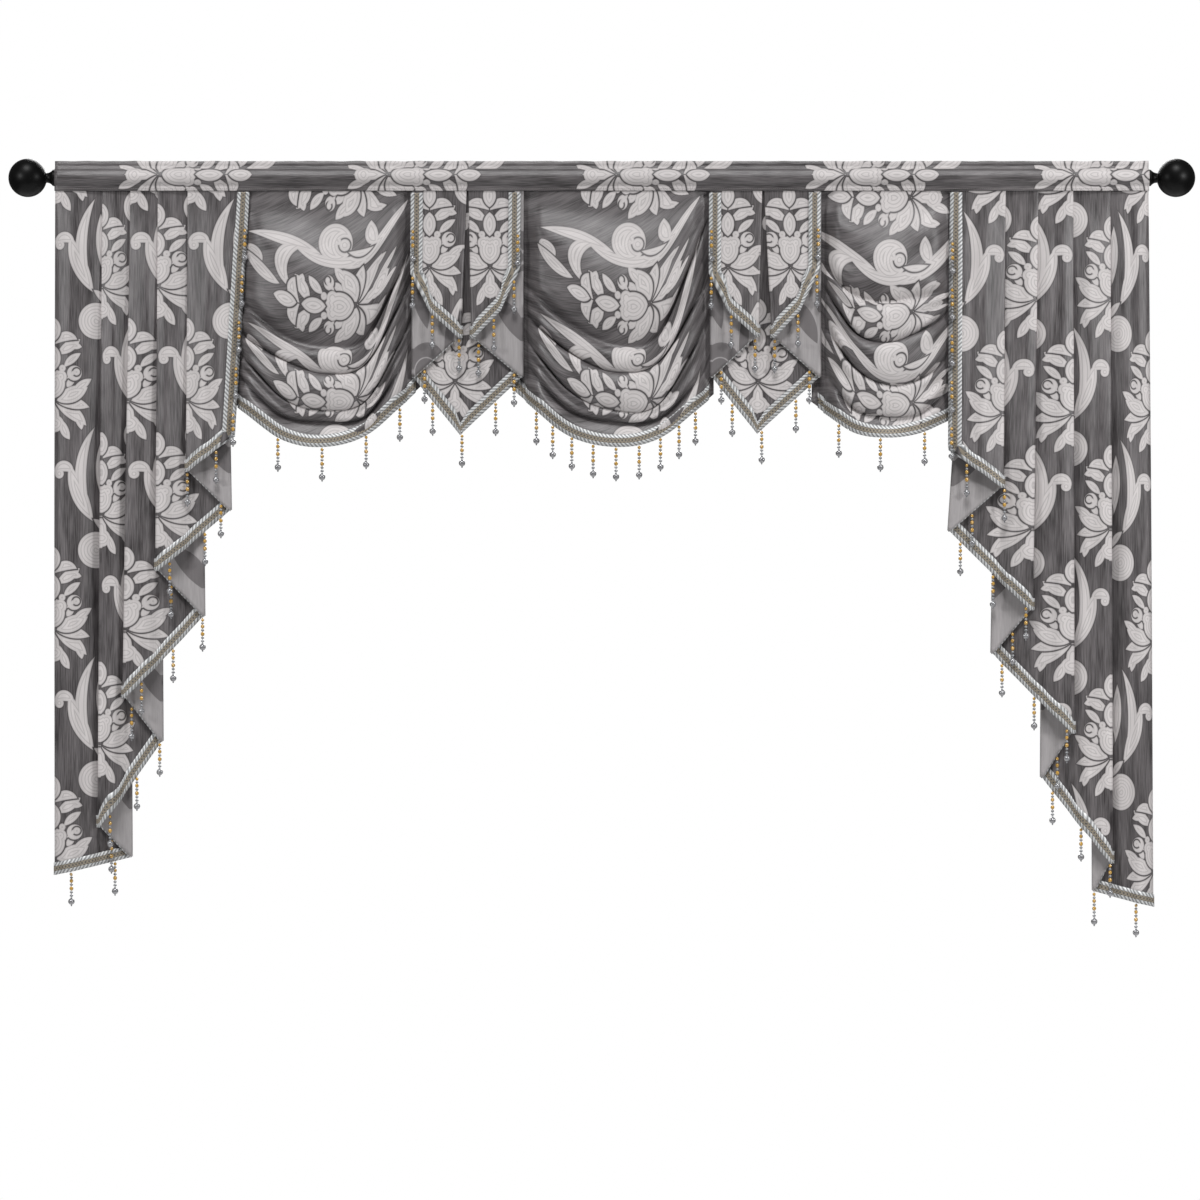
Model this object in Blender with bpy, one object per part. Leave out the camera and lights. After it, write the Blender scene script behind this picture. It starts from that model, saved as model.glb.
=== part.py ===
"""Swag and tail drape on its rod.

A flat heading with a rod pocket carries three swags, two box-pleated jabots between
them and a folded tail at each end. Braid with bead drops is sewn along the free edges.
World frame: X along the rod, Z up, the cloth faces -Y, origin in the middle of the rod's axis.
The tables below are in millimetres; MM turns them into Blender's metres.
"""
import math

import bmesh
import bpy
from mathutils import Vector

MM = 0.001

# Driving dimensions, in millimetres.
CLOTH = 1.2                 # thickness of the damask
GAP = 0.3                   # air between pieces that touch
ROD_RADIUS = 14.0
ROD_HALF_LENGTH = 900.3
BALL_RADIUS = 31.5
BALL_CENTRE = 944.0         # distance of each ball from the middle
NECK_RADIUS = 8.0
NECK_X = 906.5
COLLAR_RADIUS = 13.5
COLLAR_X = 900.6
COLLAR_RIM = 1.5
ROD_SEGMENTS = 24
BALL_SEGMENTS = 18
BALL_RINGS = 10
SHARP = math.radians(40)    # edges steeper than this stay crisp
HEADING_HALF_LENGTH = 899.0
HEADING_TOP = 28.6
HEADING_BOTTOM = -22.0
POCKET_KNEE = -17.5         # where the back of the pocket turns down into its hem
POCKET_BACK_STEPS = 7
POCKET_FRONT_STEPS = 5
SEAM_TOP = -15.5            # upper edge of the pieces held in the heading
FRONT_LAYER = -7.2          # Y of the front-most layer at the seam
SEAM_PITCH = 1.8            # from layer to layer at the seam
SEAM_EASE = 0.15            # further air in the heading, where layers end and begin
BRAID_WIDTH = 20.0
BRAID = 1.8                 # thickness of the braid
BRAID_GAP = 0.6             # the hanging cloth twists a little under it
HEM_MARGIN = 2.0            # a swag's last row of points lies this far above its braid
BRAID_TOP = -22.8           # upright braids start under the heading
DROP_PITCH = 76.0           # from one bead drop to the next
DROP_ROOT = 2.0             # how far a drop's root sits inside the braid
FOLD_STEPS = 3              # segments round each turned fold
STEEPEST = 2.4              # steepest hem along which the braid keeps its full width

# How far the stacked layers spread as they hang: pitch at the bottom, and over what drop.
TAIL_PITCH = 9.0
TAIL_SPREAD = 600.0
JABOT_PITCH = 8.0
JABOT_SPREAD = 250.0
OUTER_SETTLE = 40.0         # past the last fold a tail lies flat against the heading

# Heading: layers of cloth held in it, from the left end to the right one.
HEADING_LAYERS = (
    # x, layers
    (-HEADING_HALF_LENGTH, 5), (-616, 5), (-606, 2), (-556, 2), (-544, 1), (-358, 1), (-344, 4),
    (-106, 4), (-92, 1), (130, 1), (144, 4), (388, 4), (402, 1), (528, 1), (540, 2), (592, 2),
    (603, 5), (HEADING_HALF_LENGTH, 5),
)

# Tails: every edge and fold from the inner edge outwards; x is measured from the middle.
LEFT_TAIL = (
    # top x, hem x, hem z
    (580, 605, -424),       # inner edge
    (680, 682, -482),       # front fold 1
    (618, 608, -546),       # back fold 1
    (729, 732, -644),
    (661, 653, -720),
    (774, 786, -853),
    (727, 722, -926),
    (820, 827, -1065),      # front fold 4
    (778, 773, -1116),      # back fold 4
    (898, 897, -1143),      # outer edge
)
RIGHT_TAIL = (
    (574, 571, -447),
    (663, 659, -508),
    (606, 568, -580),
    (717, 707, -709),
    (654, 640, -781),
    (774, 775, -911),
    (728, 721, -985),
    (835, 838, -1124),
    (802, 806, -1171),
    (898, 904, -1195),
)

# Jabots: the hem's outline from the left free edge to the right one, with the layer
# (0 in front, 2 at the back) that starts at each point.
LEFT_JABOT = (
    # top x, hem x, hem z, layer
    (-312, -312, -158, 0),  # free edge
    (-282, -282, -220, 0),
    (-222.5, -231, -262, 1),  # fold beside the slit
    (-312, -312, -328, 2),  # side fold
    (-222, -233, -421, 2),  # point
    (-129, -129, -327, 1),
    (-218.5, -214, -263, 0),
    (-164, -166, -218, 0),
    (-135, -137, -150, 0),
)
RIGHT_JABOT = (
    (178, 178, -158, 0),
    (208, 208, -220, 0),
    (263, 257, -260, 1),
    (178, 178, -327, 2),
    (266, 255, -419, 2),
    (360, 360, -327, 1),
    (267, 279, -262, 0),
    (327, 325, -218, 0),
    (358, 356, -150, 0),
)

# Swags: the hidden reach of each, where its sides slip behind the neighbours (at the top and
# at the hem), how deep they are tucked there (top left, top right, low left, low right), and
# its fold lines from the top to the hem: a height at each station across, and the depth of
# the roll above that line.
LEFT_SWAG = {
    "reach": (-605, -291), "sides": ((-577, -601), (-320, -320)), "tuck": (-5.4, -1.8, -5.4, 1.5),
    "stations": (-587, -520, -452, -383, -322),
    "folds": (
        ((-212, -266, -284, -266, -138), 10),
        ((-260, -301, -324, -304, -187), 13),
        ((-296, -365, -383, -365, -253), 15),
        ((-335, -391, -401, -388, -294), 8),
        ((-383, -431, -442, -421, -365), 9),
    ),
}
CENTRE_SWAG = {
    "reach": (-154, 184), "sides": ((-122, -122), (170, 170)), "tuck": (-1.8, -1.8, 1.5, 1.5),
    "stations": (-130, -56, 20, 95, 166),
    "folds": (
        ((-176, -242, -281, -261, -89), 10),
        ((-220, -286, -321, -302, -184), 13),
        ((-258, -349, -383, -372, -253), 15),
        ((-300, -378, -401, -393, -322), 8),
        ((-360, -422, -442, -427, -370), 9),
    ),
}
RIGHT_SWAG = {
    "reach": (345, 575), "sides": ((367, 367), (566, 566)), "tuck": (-1.8, -5.4, 1.5, -5.4),
    "stations": (365, 413, 465, 516, 564),
    "folds": (
        ((-148, -196, -210, -201, -189), 8),
        ((-179, -255, -273, -255, -224), 13),
        ((-240, -312, -341, -334, -300), 15),
        ((-320, -378, -393, -388, -352), 10),
        ((-383, -418, -427, -420, -399), 8),
    ),
}
SWAG_BELLY = 30.0           # how far a swag's middle stands forward of the seam
BELLY_FALL = 180.0          # the drop over which it does so
TUCK_SETTLE = 65.0          # the drop over which the sides settle into their tuck
TUCK_WIDTH = 22.0           # the sides turn back over this width
FULLNESS_POWER = 0.7        # below 1 a swag stays full until close to its sides
OVERHANG = 1.2              # above 1 a roll hangs over the fold under it
SOFT_OVERHANG = 0.25        # the same for the smooth top panel and for the hem
TOP_SAG = 1.7               # the top panel bulges low, above its first fold
TOP_PARTS = (0.3, 0.5, 0.7, 0.85)       # where the top panel and each roll have a row of points
ROLL_PARTS = (0.0, 0.25, 0.5, 0.75)
SWAG_COLUMNS = 10
TAIL_ROWS = 9
TAIL_STEPS = 3              # segments across a tail's layer
JABOT_ROWS = 6
JABOT_STEPS = 2

# Bead drop: distance below its root and radius; the swing brings it clear of the cloth.
DROP_PROFILE = ((0, 0.6), (13, 2.4), (46, 2.0), (54, 5.3), (62, 0))
DROP_TURN = 0.4             # a corner of the drop points this way, in radians from +X
HEM_SWING = 3.0
EDGE_SWING = 7.5
CORNER_RISE = 25.0          # drops this far above a corner count as hanging on the upright edge


def metal_or_cloth(name, colour, roughness, metallic=0.0):
    material = bpy.data.materials.new(name)
    material.use_nodes = True
    shader = material.node_tree.nodes["Principled BSDF"]
    shader.inputs["Base Color"].default_value = (*colour, 1.0)
    shader.inputs["Roughness"].default_value = roughness
    shader.inputs["Metallic"].default_value = metallic
    return material


def link(name, mesh, material):
    obj = bpy.data.objects.new(name, mesh)
    bpy.context.scene.collection.objects.link(obj)
    if material:
        mesh.materials.append(material)
    return obj


def ease(value):
    t = min(max(value, 0.0), 1.0)
    return t * t * (3.0 - 2.0 * t)


def mix(a, b, t):
    return a + (b - a) * t


def along(xs, values, x):
    """Straight-line reading of a table, held level past its ends."""
    if x <= xs[0]:
        return values[0]
    for x0, x1, a, b in zip(xs, xs[1:], values, values[1:]):
        if x <= x1:
            return mix(a, b, (x - x0) / (x1 - x0))
    return values[-1]


def curve_through(xs, values, x):
    """A smooth curve through a table, carried on straight past its ends."""
    slopes = [(b - a) / (x1 - x0) for x0, x1, a, b in zip(xs, xs[1:], values, values[1:])]
    if x <= xs[0]:
        return values[0] + slopes[0] * (x - xs[0])
    if x >= xs[-1]:
        return values[-1] + slopes[-1] * (x - xs[-1])
    tangents = [slopes[0], *((a + b) / 2.0 for a, b in zip(slopes, slopes[1:])), slopes[-1]]
    k = max(i for i in range(len(xs) - 1) if x >= xs[i])
    width = xs[k + 1] - xs[k]
    t = (x - xs[k]) / width
    return (
        (2 * t**3 - 3 * t**2 + 1) * values[k] + (t**3 - 2 * t**2 + t) * width * tangents[k]
        + (3 * t**2 - 2 * t**3) * values[k + 1] + (t**3 - t**2) * width * tangents[k + 1]
    )


def sheet(name, rows, thickness, material, turned_folds=True):
    """A closed sheet through rows of points, top row first. Turned folds keep the full
    thickness round their corners; soft rolls don't need that."""
    across = len(rows[0]) - 1
    down = len(rows) - 1
    bm = bmesh.new()
    bmesh.ops.create_grid(bm, x_segments=across, y_segments=down, size=1.0)
    for vert in bm.verts:
        column = round((vert.co.x + 1.0) / 2.0 * across)
        row = round((1.0 - vert.co.y) / 2.0 * down)
        vert.co = Vector(rows[row][column]) * MM
    mesh = bpy.data.meshes.new(name)
    bm.to_mesh(mesh)
    bm.free()
    obj = link(name, mesh, material)
    wall = obj.modifiers.new("Thickness", "SOLIDIFY")
    wall.thickness = thickness * MM
    wall.offset = 0.0
    wall.use_even_offset = turned_folds
    flat = obj.modifiers.new("Flat faces", "TRIANGULATE")
    flat.quad_method = "FIXED"
    return obj


def turned(name, profile, segments, material):
    """A closed turned piece: a profile of (distance, radius) spun round the X axis."""
    bm = bmesh.new()
    verts = [bm.verts.new((d * MM, r * MM, 0)) for d, r in profile]
    edges = [bm.edges.new(pair) for pair in zip(verts, verts[1:])]
    bmesh.ops.spin(
        bm, geom=verts + edges, cent=(0, 0, 0), axis=(1, 0, 0), angle=math.tau, steps=segments, use_merge=True
    )
    bmesh.ops.remove_doubles(bm, verts=bm.verts, dist=1e-6)
    bmesh.ops.recalc_face_normals(bm, faces=bm.faces)
    mesh = bpy.data.meshes.new(name)
    bm.to_mesh(mesh)
    bm.free()
    mesh.shade_smooth()
    mesh.set_sharp_from_angle(angle=SHARP)
    return link(name, mesh, material)


# Rod, finials and heading ---------------------------------------------------------------

def build_rod(material):
    corners = ((-1, 0), (-1, ROD_RADIUS), (1, ROD_RADIUS), (1, 0))
    turned("rod", [(end * ROD_HALF_LENGTH, r) for end, r in corners], ROD_SEGMENTS, material)


def build_finial(name, side, material):
    """A ball on a short neck that flares into the collar against the rod's end."""
    neck_angle = math.asin(NECK_RADIUS / BALL_RADIUS)
    profile = [(BALL_CENTRE + BALL_RADIUS, 0)]
    for ring in range(1, BALL_RINGS + 1):
        angle = mix(math.pi, neck_angle, ring / BALL_RINGS)
        profile.append((BALL_CENTRE - BALL_RADIUS * math.cos(angle), BALL_RADIUS * math.sin(angle)))
    profile += [(NECK_X, NECK_RADIUS), (COLLAR_X + COLLAR_RIM, COLLAR_RADIUS)]
    profile += [(COLLAR_X, COLLAR_RADIUS), (COLLAR_X, 0)]
    turned(name, [(side * d, r) for d, r in profile], BALL_SEGMENTS, material)


def heading_section(layers):
    """The cloth's path round the rod, as (y, z), from the back hem over the top to the front."""
    back = FRONT_LAYER + SEAM_PITCH * (layers - 1) + CLOTH + GAP + SEAM_EASE
    front = FRONT_LAYER - CLOTH - GAP - SEAM_EASE
    inner = ROD_RADIUS + GAP + CLOTH / 2
    radius = inner / math.cos(math.pi / POCKET_BACK_STEPS / 2)
    lip = (CLOTH + GAP) / 2
    start = math.asin(lip / radius)
    back_end = math.pi - math.asin(max(back, 1.0) / radius)
    front_end = math.pi - math.asin(-front / radius)
    path = [(back, HEADING_BOTTOM), (back, POCKET_KNEE)]
    for step in range(POCKET_BACK_STEPS, -1, -1):
        angle = mix(start, back_end, step / POCKET_BACK_STEPS)
        path.append((radius * math.sin(angle), radius * math.cos(angle)))
    path += [(lip, HEADING_TOP - CLOTH), (0.0, HEADING_TOP - CLOTH / 2), (-lip, HEADING_TOP - CLOTH)]
    for step in range(POCKET_FRONT_STEPS + 1):
        angle = mix(start, front_end, step / POCKET_FRONT_STEPS)
        path.append((-radius * math.sin(angle), radius * math.cos(angle)))
    path.append((front, HEADING_BOTTOM))
    return path


def build_heading(material):
    rows = []
    for x, layers in HEADING_LAYERS:
        rows.append([(x, y, z) for y, z in heading_section(layers)])
    return sheet("heading", rows, CLOTH, material)


# Tails and jabots: one cloth folded to and fro -------------------------------------------

def spread(pitch, reach, z):
    return mix(SEAM_PITCH, pitch, ease((SEAM_TOP - z) / reach))


def tail_depth(folds):
    """Depth of a tail's layer at (x, z): each layer lies one pitch behind the last, and the
    stack leans so that the front-most layer stays near the heading's face."""
    front_folds = folds[1:-1:2]

    def depth(layer, x, z):
        pitch = spread(TAIL_PITCH, TAIL_SPREAD, z)
        xs = [mix(top, hem, (z - SEAM_TOP) / (low - SEAM_TOP)) for top, hem, low in front_folds]
        xs.append(xs[-1] + OUTER_SETTLE)
        lean = along(xs, [2.0 * step for step in range(len(xs))], abs(x))
        return FRONT_LAYER - 2.0 * (pitch - SEAM_PITCH) + pitch * (layer - lean)

    return depth


def jabot_depth(layer, _x, z):
    return FRONT_LAYER + 2.0 * SEAM_PITCH - (2 - layer) * spread(JABOT_PITCH, JABOT_SPREAD, z)


def folded_rows(outline, depth, down, steps):
    """Rows of points through a folded cloth. Each outline row is (top x, hem x, hem z, layer);
    the cloth turns in a round fold wherever the layer changes."""
    rows = []
    for number in range(down + 1):
        fall = number / down
        stations = [(mix(a, b, fall), mix(SEAM_TOP, low, fall), layer) for a, b, low, layer in outline]
        corners = []
        for before, here in zip([None, *stations], stations):
            x, z, layer = here
            if before is None or before[2] == layer:
                corners.append([(x, depth(layer, x, z), z)])
                continue
            way = math.copysign(1.0, x - before[0])
            radius = abs(depth(layer, x, z) - depth(before[2], x, z)) / 2
            middle = x - way * radius
            near = depth(before[2], middle, z)
            far = depth(layer, middle, z)
            turn = [math.pi * step / FOLD_STEPS for step in range(FOLD_STEPS + 1)]
            corners.append([
                (middle + way * radius * math.sin(angle), mix(far, near, (1 + math.cos(angle)) / 2), z)
                for angle in turn
            ])
        row = list(corners[0])
        layers = [layer for _, _, layer in stations]
        for corner, layer, following in zip(corners, layers, corners[1:]):
            start, end = corner[-1], following[0]
            for step in range(1, steps):
                x = mix(start[0], end[0], step / steps)
                z = mix(start[2], end[2], step / steps)
                row.append((x, depth(layer, x, z), z))
            row += following
        rows.append(row)
    return rows


def tail_rows(folds, side):
    layers = [*range(len(folds) - 1), len(folds) - 2]
    outline = [(side * top, side * hem, low, layer) for (top, hem, low), layer in zip(folds, layers)]
    return folded_rows(outline, tail_depth(folds), TAIL_ROWS, TAIL_STEPS)


# Swags -----------------------------------------------------------------------------------

def swag_sides(swag, z):
    """Where a swag slips behind its neighbours at this height, and how deep it lies there."""
    fall = min((SEAM_TOP - z) / (SEAM_TOP - swag["folds"][-1][0][2]), 1.0)
    (left_top, left_low), (right_top, right_low) = swag["sides"]
    top_left, top_right, low_left, low_right = swag["tuck"]
    settle = ease((SEAM_TOP - z) / TUCK_SETTLE)
    left = (mix(left_top, left_low, fall), mix(top_left, low_left, settle))
    right = (mix(right_top, right_low, fall), mix(top_right, low_right, settle))
    return left, right


def swag_fullness(swag, x, z):
    """0 at the tucked sides of a swag, 1 in its middle."""
    (left, _), (right, _) = swag_sides(swag, z)
    share = min(max((x - left) / (right - left), 0.0), 1.0)
    return max(math.sin(math.pi * share), 0.0) ** FULLNESS_POWER


def swag_depth(swag, x, z):
    """The plain belly of a swag, without its rolls: flat at the seam, tucked back at the sides."""
    (left, left_y), (right, right_y) = swag_sides(swag, z)
    side = left_y if x < (left + right) / 2 else right_y
    base = mix(side, FRONT_LAYER, ease(min(x - left, right - x) / TUCK_WIDTH))
    return base - SWAG_BELLY * ease((HEADING_BOTTOM - z) / BELLY_FALL) * swag_fullness(swag, x, z)


def swag_point(swag, x, line, part):
    """A swag's point at x, a share `part` of the way from one fold line to the next one."""
    folds = swag["folds"]
    heights, depth = folds[line]
    low = curve_through(swag["stations"], heights, x)
    high = SEAM_TOP if line == 0 else curve_through(swag["stations"], folds[line - 1][0], x)
    level = mix(high, low, part)
    fullness = swag_fullness(swag, x, level)
    last = line == len(folds) - 1
    phase = math.pi * part if last else math.tau * (part**TOP_SAG if line == 0 else part)
    tilt = SOFT_OVERHANG if line == 0 or last else OVERHANG * fullness
    z = level + (high - low) * tilt / math.tau * math.sin(phase)
    roll = depth * fullness * (1.0 - math.cos(phase)) / 2.0
    return x, swag_depth(swag, x, z) - roll, z


def swag_rows(swag):
    """Rows of points through a swag, closer together towards its sides."""
    left, right = swag["reach"]
    start, end = swag["stations"][0], swag["stations"][-1]
    turns = [math.pi * k / SWAG_COLUMNS for k in range(SWAG_COLUMNS + 1)]
    xs = [left, *(mix(start, end, (1.0 - math.cos(turn)) / 2) for turn in turns), right]
    last = len(swag["folds"]) - 1
    parts = [(0, part) for part in TOP_PARTS]
    parts += [(line, part) for line in range(1, last) for part in ROLL_PARTS]
    parts.append((last, 0))
    seam = [[(x, swag_depth(swag, x, z), z) for x in xs] for z in (SEAM_TOP, HEADING_BOTTOM - CLOTH)]
    rows = seam + [[swag_point(swag, x, line, part) for x in xs] for line, part in parts]
    above = []
    hem = [swag_point(swag, x, last, 1) for x in xs]
    for valley, edge in zip(rows[-1], hem):
        share = 1.0 - (BRAID_WIDTH + HEM_MARGIN) / (valley[2] - edge[2])
        above.append(swag_point(swag, edge[0], last, share))
    return rows + [above, hem]


# Braid and bead drops ----------------------------------------------------------------------

NEARBY = 0.2                # a small step between rows or columns


def grid_point(rows, row, column):
    """A point of the cloth between its rows and columns."""
    top, left = min(int(row), len(rows) - 2), min(int(column), len(rows[0]) - 2)
    upper = Vector(rows[top][left]).lerp(Vector(rows[top][left + 1]), column - left)
    lower = Vector(rows[top + 1][left]).lerp(Vector(rows[top + 1][left + 1]), column - left)
    return upper.lerp(lower, row - top)


def on_face(rows, row, column, side):
    """The point of a braid's middle that lies on the cloth's face at (row, column). In a turned
    fold it moves out along the mitre, so the braid keeps its distance from both runs."""
    here = grid_point(rows, row, column)
    last = len(rows[0]) - 1
    before = grid_point(rows, row, max(math.ceil(column) - 1, 0))
    after = grid_point(rows, row, min(math.floor(column) + 1, last))
    ways = [way.normalized() for way in (here - before, after - here) if way.length > 1e-6]
    normals = [Vector((way.y, -way.x, 0)).normalized() * side for way in ways]
    mitre = (normals[0] + normals[-1]) / (1.0 + normals[0].dot(normals[-1]))
    hang = grid_point(rows, max(row - NEARBY, 0), column) - grid_point(rows, row + NEARBY, column)
    hang.normalize()
    upright = (mitre - hang * mitre.dot(hang)).normalized() * mitre.length
    return here + upright * (CLOTH / 2 + BRAID_GAP + BRAID / 2)


def hem_stations(rows, side, columns):
    """Pairs (hem point, upper point) of the braid along the hem."""
    bottom = len(rows) - 1
    stations = []
    for column in columns:
        hem, above = (grid_point(rows, bottom - up, column) for up in (0, 1))
        beside = min(column + 1, len(rows[0]) - 1)
        run = grid_point(rows, bottom, beside) - grid_point(rows, bottom, column - 1)
        slope = run.length / max(math.hypot(run.x, run.y), 1.0)
        share = BRAID_WIDTH * min(slope, STEEPEST) / (above - hem).length
        stations.append([on_face(rows, bottom - up, column, side) for up in (0, share)])
    return stations


def edge_stations(rows, side, column, inward):
    """Pairs (edge point, inner point) of the braid down a free side edge, without the hem."""
    stations = []
    for row in range(len(rows) - 1):
        inner = column_at(rows, row, column, inward)
        level = level_with(rows, grid_point(rows, row, column).z, inner)
        stations.append([on_face(rows, row, column, side), on_face(rows, level, inner, side)])
    first, second = stations[0], stations[1]
    share = (BRAID_TOP - first[0].z) / (second[0].z - first[0].z)
    stations[0] = [a.lerp(b, share) for a, b in zip(first, second)]
    return stations


def between_corners(rows, side_edges):
    """The whole columns that lie further in than the upright braids on these edges."""
    bottom = len(rows) - 1
    last = len(rows[0]) - 1
    first = math.ceil(column_at(rows, bottom, 0, 1) + NEARBY)
    if side_edges == 1:
        return range(first, last + 1)
    return range(first, math.floor(column_at(rows, bottom, last, -1) - NEARBY) + 1)


def level_with(rows, z, column):
    """The place between rows that lies at height z on this column."""
    top, bottom = (grid_point(rows, row, column).z for row in (0, len(rows) - 1))
    return (len(rows) - 1) * (top - z) / (top - bottom)


def column_at(rows, row, column, inward):
    """The place between columns that lies a braid's width in from the edge."""
    edge = grid_point(rows, row, column)
    step = 0
    while abs(grid_point(rows, row, column + inward * (step + 1)).x - edge.x) < BRAID_WIDTH:
        step += 1
    near = abs(grid_point(rows, row, column + inward * step).x - edge.x)
    far = abs(grid_point(rows, row, column + inward * (step + 1)).x - edge.x)
    return column + inward * (step + (BRAID_WIDTH - near) / (far - near))


def corner_station(rows, side, column, inward):
    """The mitred corner between an upright braid and the hem's braid."""
    bottom = len(rows) - 1
    inner = column_at(rows, bottom, column, inward)
    edge, beside, above = (grid_point(rows, *place) for place in (
        (bottom, column), (bottom, inner), (bottom - 1, inner)))
    slope = (beside - edge).length / abs(beside.x - edge.x)
    share = min(BRAID_WIDTH * slope / (above.z - beside.z), 0.95)
    return [on_face(rows, bottom, column, side), on_face(rows, bottom - share, inner, side)]


def drop_mesh():
    bm = bmesh.new()
    profile = [(0, 0), *DROP_PROFILE]
    corner = Vector((math.cos(DROP_TURN), math.sin(DROP_TURN)))
    verts = [bm.verts.new((corner.x * r * MM, corner.y * r * MM, -d * MM)) for d, r in profile]
    edges = [bm.edges.new(pair) for pair in zip(verts, verts[1:])]
    bmesh.ops.spin(
        bm, geom=verts + edges, cent=(0, 0, 0), axis=(0, 0, 1), angle=math.tau, steps=4, use_merge=True
    )
    bmesh.ops.remove_doubles(bm, verts=bm.verts, dist=1e-6)
    bmesh.ops.recalc_face_normals(bm, faces=bm.faces)
    mesh = bpy.data.meshes.new("drop")
    bm.to_mesh(mesh)
    bm.free()
    return mesh


def drop_roots(stations, first, pitch):
    """Points along the braid's free edge, one each pitch, with the way into the braid."""
    roots = []
    due = first
    walked = 0.0
    for (a, a_in), (b, b_in) in zip(stations, stations[1:]):
        length = (b - a).length
        while due <= walked + length:
            share = (due - walked) / length
            edge = a.lerp(b, share)
            inward = (a_in.lerp(b_in, share) - edge).normalized()
            roots.append(edge + inward * DROP_ROOT)
            due += pitch
        walked += length
    return roots


def build_braid(name, stations, first, pitch, hem_from, material):
    """A strip of braid with its drops fused to it. Above z = hem_from the braid runs down an
    upright edge, where the drops swing further forward to hang clear of it."""
    strip = sheet(name, [[b for _, b in stations], [a for a, _ in stations]], BRAID, material)
    bm = bmesh.new()
    template = drop_mesh()
    for root in drop_roots(stations, first, pitch):
        start = len(bm.verts)
        bm.from_mesh(template)
        bm.verts.ensure_lookup_table()
        swing = (EDGE_SWING if root.z > hem_from else HEM_SWING) * MM
        neck = DROP_PROFILE[1][0] * MM
        for vert in bm.verts[start:]:
            vert.co.y -= swing * min(-vert.co.z / neck, 1.0)
            vert.co += root * MM
    mesh = bpy.data.meshes.new(name + "_drops")
    bm.to_mesh(mesh)
    bm.free()
    drops = link(name + "_drops", mesh, None)
    drops.hide_render = True
    drops.display_type = "WIRE"
    fuse = strip.modifiers.new("Drops", "BOOLEAN")
    fuse.operation = "UNION"
    fuse.object = drops
    return strip


# The whole drape -----------------------------------------------------------------------------

def build_tail(name, folds, side, first, cloth, braid):
    rows = tail_rows(folds, side)
    sheet(name, rows, CLOTH, cloth)
    stations = edge_stations(rows, side, 0, 1)
    stations.append(corner_station(rows, side, 0, 1))
    stations += hem_stations(rows, side, between_corners(rows, 1))
    build_braid(name + "_braid", stations, first, DROP_PITCH, folds[0][2] + CORNER_RISE, braid)


def build_jabot(name, outline, first, cloth, braid):
    rows = folded_rows(outline, jabot_depth, JABOT_ROWS, JABOT_STEPS)
    sheet(name, rows, CLOTH, cloth)
    last = len(rows[0]) - 1
    stations = edge_stations(rows, 1, 0, 1)
    stations.append(corner_station(rows, 1, 0, 1))
    stations += hem_stations(rows, 1, between_corners(rows, 2))
    stations.append(corner_station(rows, 1, last, -1))
    stations += reversed(edge_stations(rows, 1, last, -1))
    build_braid(name + "_braid", stations, first, DROP_PITCH, outline[0][2] + CORNER_RISE, braid)


def build_swag(name, swag, first, pitch, cloth, braid):
    rows = swag_rows(swag)
    sheet(name, rows, CLOTH, cloth, turned_folds=False)
    stations = hem_stations(rows, 1, range(1, len(rows[0]) - 1))
    build_braid(name + "_braid", stations, first, pitch, SEAM_TOP, braid)


def main():
    for old in list(bpy.data.objects):
        bpy.data.objects.remove(old)
    damask = metal_or_cloth("damask", (0.17, 0.16, 0.16), 0.6)
    trimming = metal_or_cloth("braid and beads", (0.35, 0.33, 0.28), 0.45, 0.3)
    black = metal_or_cloth("gloss black", (0.01, 0.01, 0.01), 0.15)

    build_rod(black)
    build_finial("finial_left", -1, black)
    build_finial("finial_right", 1, black)
    build_heading(damask)
    build_tail("tail_left", LEFT_TAIL, -1, 56, damask, trimming)
    build_tail("tail_right", RIGHT_TAIL, 1, 78, damask, trimming)
    build_jabot("jabot_left", LEFT_JABOT, 58, damask, trimming)
    build_jabot("jabot_right", RIGHT_JABOT, 58, damask, trimming)
    build_swag("swag_left", LEFT_SWAG, 76, DROP_PITCH, damask, trimming)
    build_swag("swag_centre", CENTRE_SWAG, 37, DROP_PITCH / 2, damask, trimming)
    build_swag("swag_right", RIGHT_SWAG, 40, DROP_PITCH, damask, trimming)


main()
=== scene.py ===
# %% [markdown]
# # Swag and tail drape: the looks
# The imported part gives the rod, its two balls and a plain sheet for every cloth. This lesson
# dresses them: each cloth is hung again as a finer sheet on the same folds, woven with a damask
# that is drawn with compass arcs, and trimmed with a braid and strings of beads.

import math
from itertools import accumulate

import bmesh
import bpy
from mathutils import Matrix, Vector, noise


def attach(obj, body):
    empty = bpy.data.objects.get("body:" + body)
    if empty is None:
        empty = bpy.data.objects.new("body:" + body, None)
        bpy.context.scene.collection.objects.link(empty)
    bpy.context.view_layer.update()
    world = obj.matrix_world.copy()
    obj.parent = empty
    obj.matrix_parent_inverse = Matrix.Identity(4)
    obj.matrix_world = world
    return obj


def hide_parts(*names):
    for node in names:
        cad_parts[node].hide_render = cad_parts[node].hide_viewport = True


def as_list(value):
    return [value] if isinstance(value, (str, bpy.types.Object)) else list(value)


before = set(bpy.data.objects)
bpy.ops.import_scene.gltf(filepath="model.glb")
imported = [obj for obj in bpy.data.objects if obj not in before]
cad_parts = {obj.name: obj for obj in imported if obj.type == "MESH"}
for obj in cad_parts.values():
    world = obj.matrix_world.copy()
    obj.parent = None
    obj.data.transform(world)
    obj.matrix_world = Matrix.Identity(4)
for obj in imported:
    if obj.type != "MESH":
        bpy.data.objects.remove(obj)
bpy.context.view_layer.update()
MM = 0.001
print("nodes:", sorted(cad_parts))

# %% [markdown]
# ## Helpers
# Every finish is built from Math, Vector Math and Mix nodes. Small helpers put a node in a tree
# and fill its inputs, from other nodes' outputs or from plain numbers.

# %% Helpers for node trees


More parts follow.
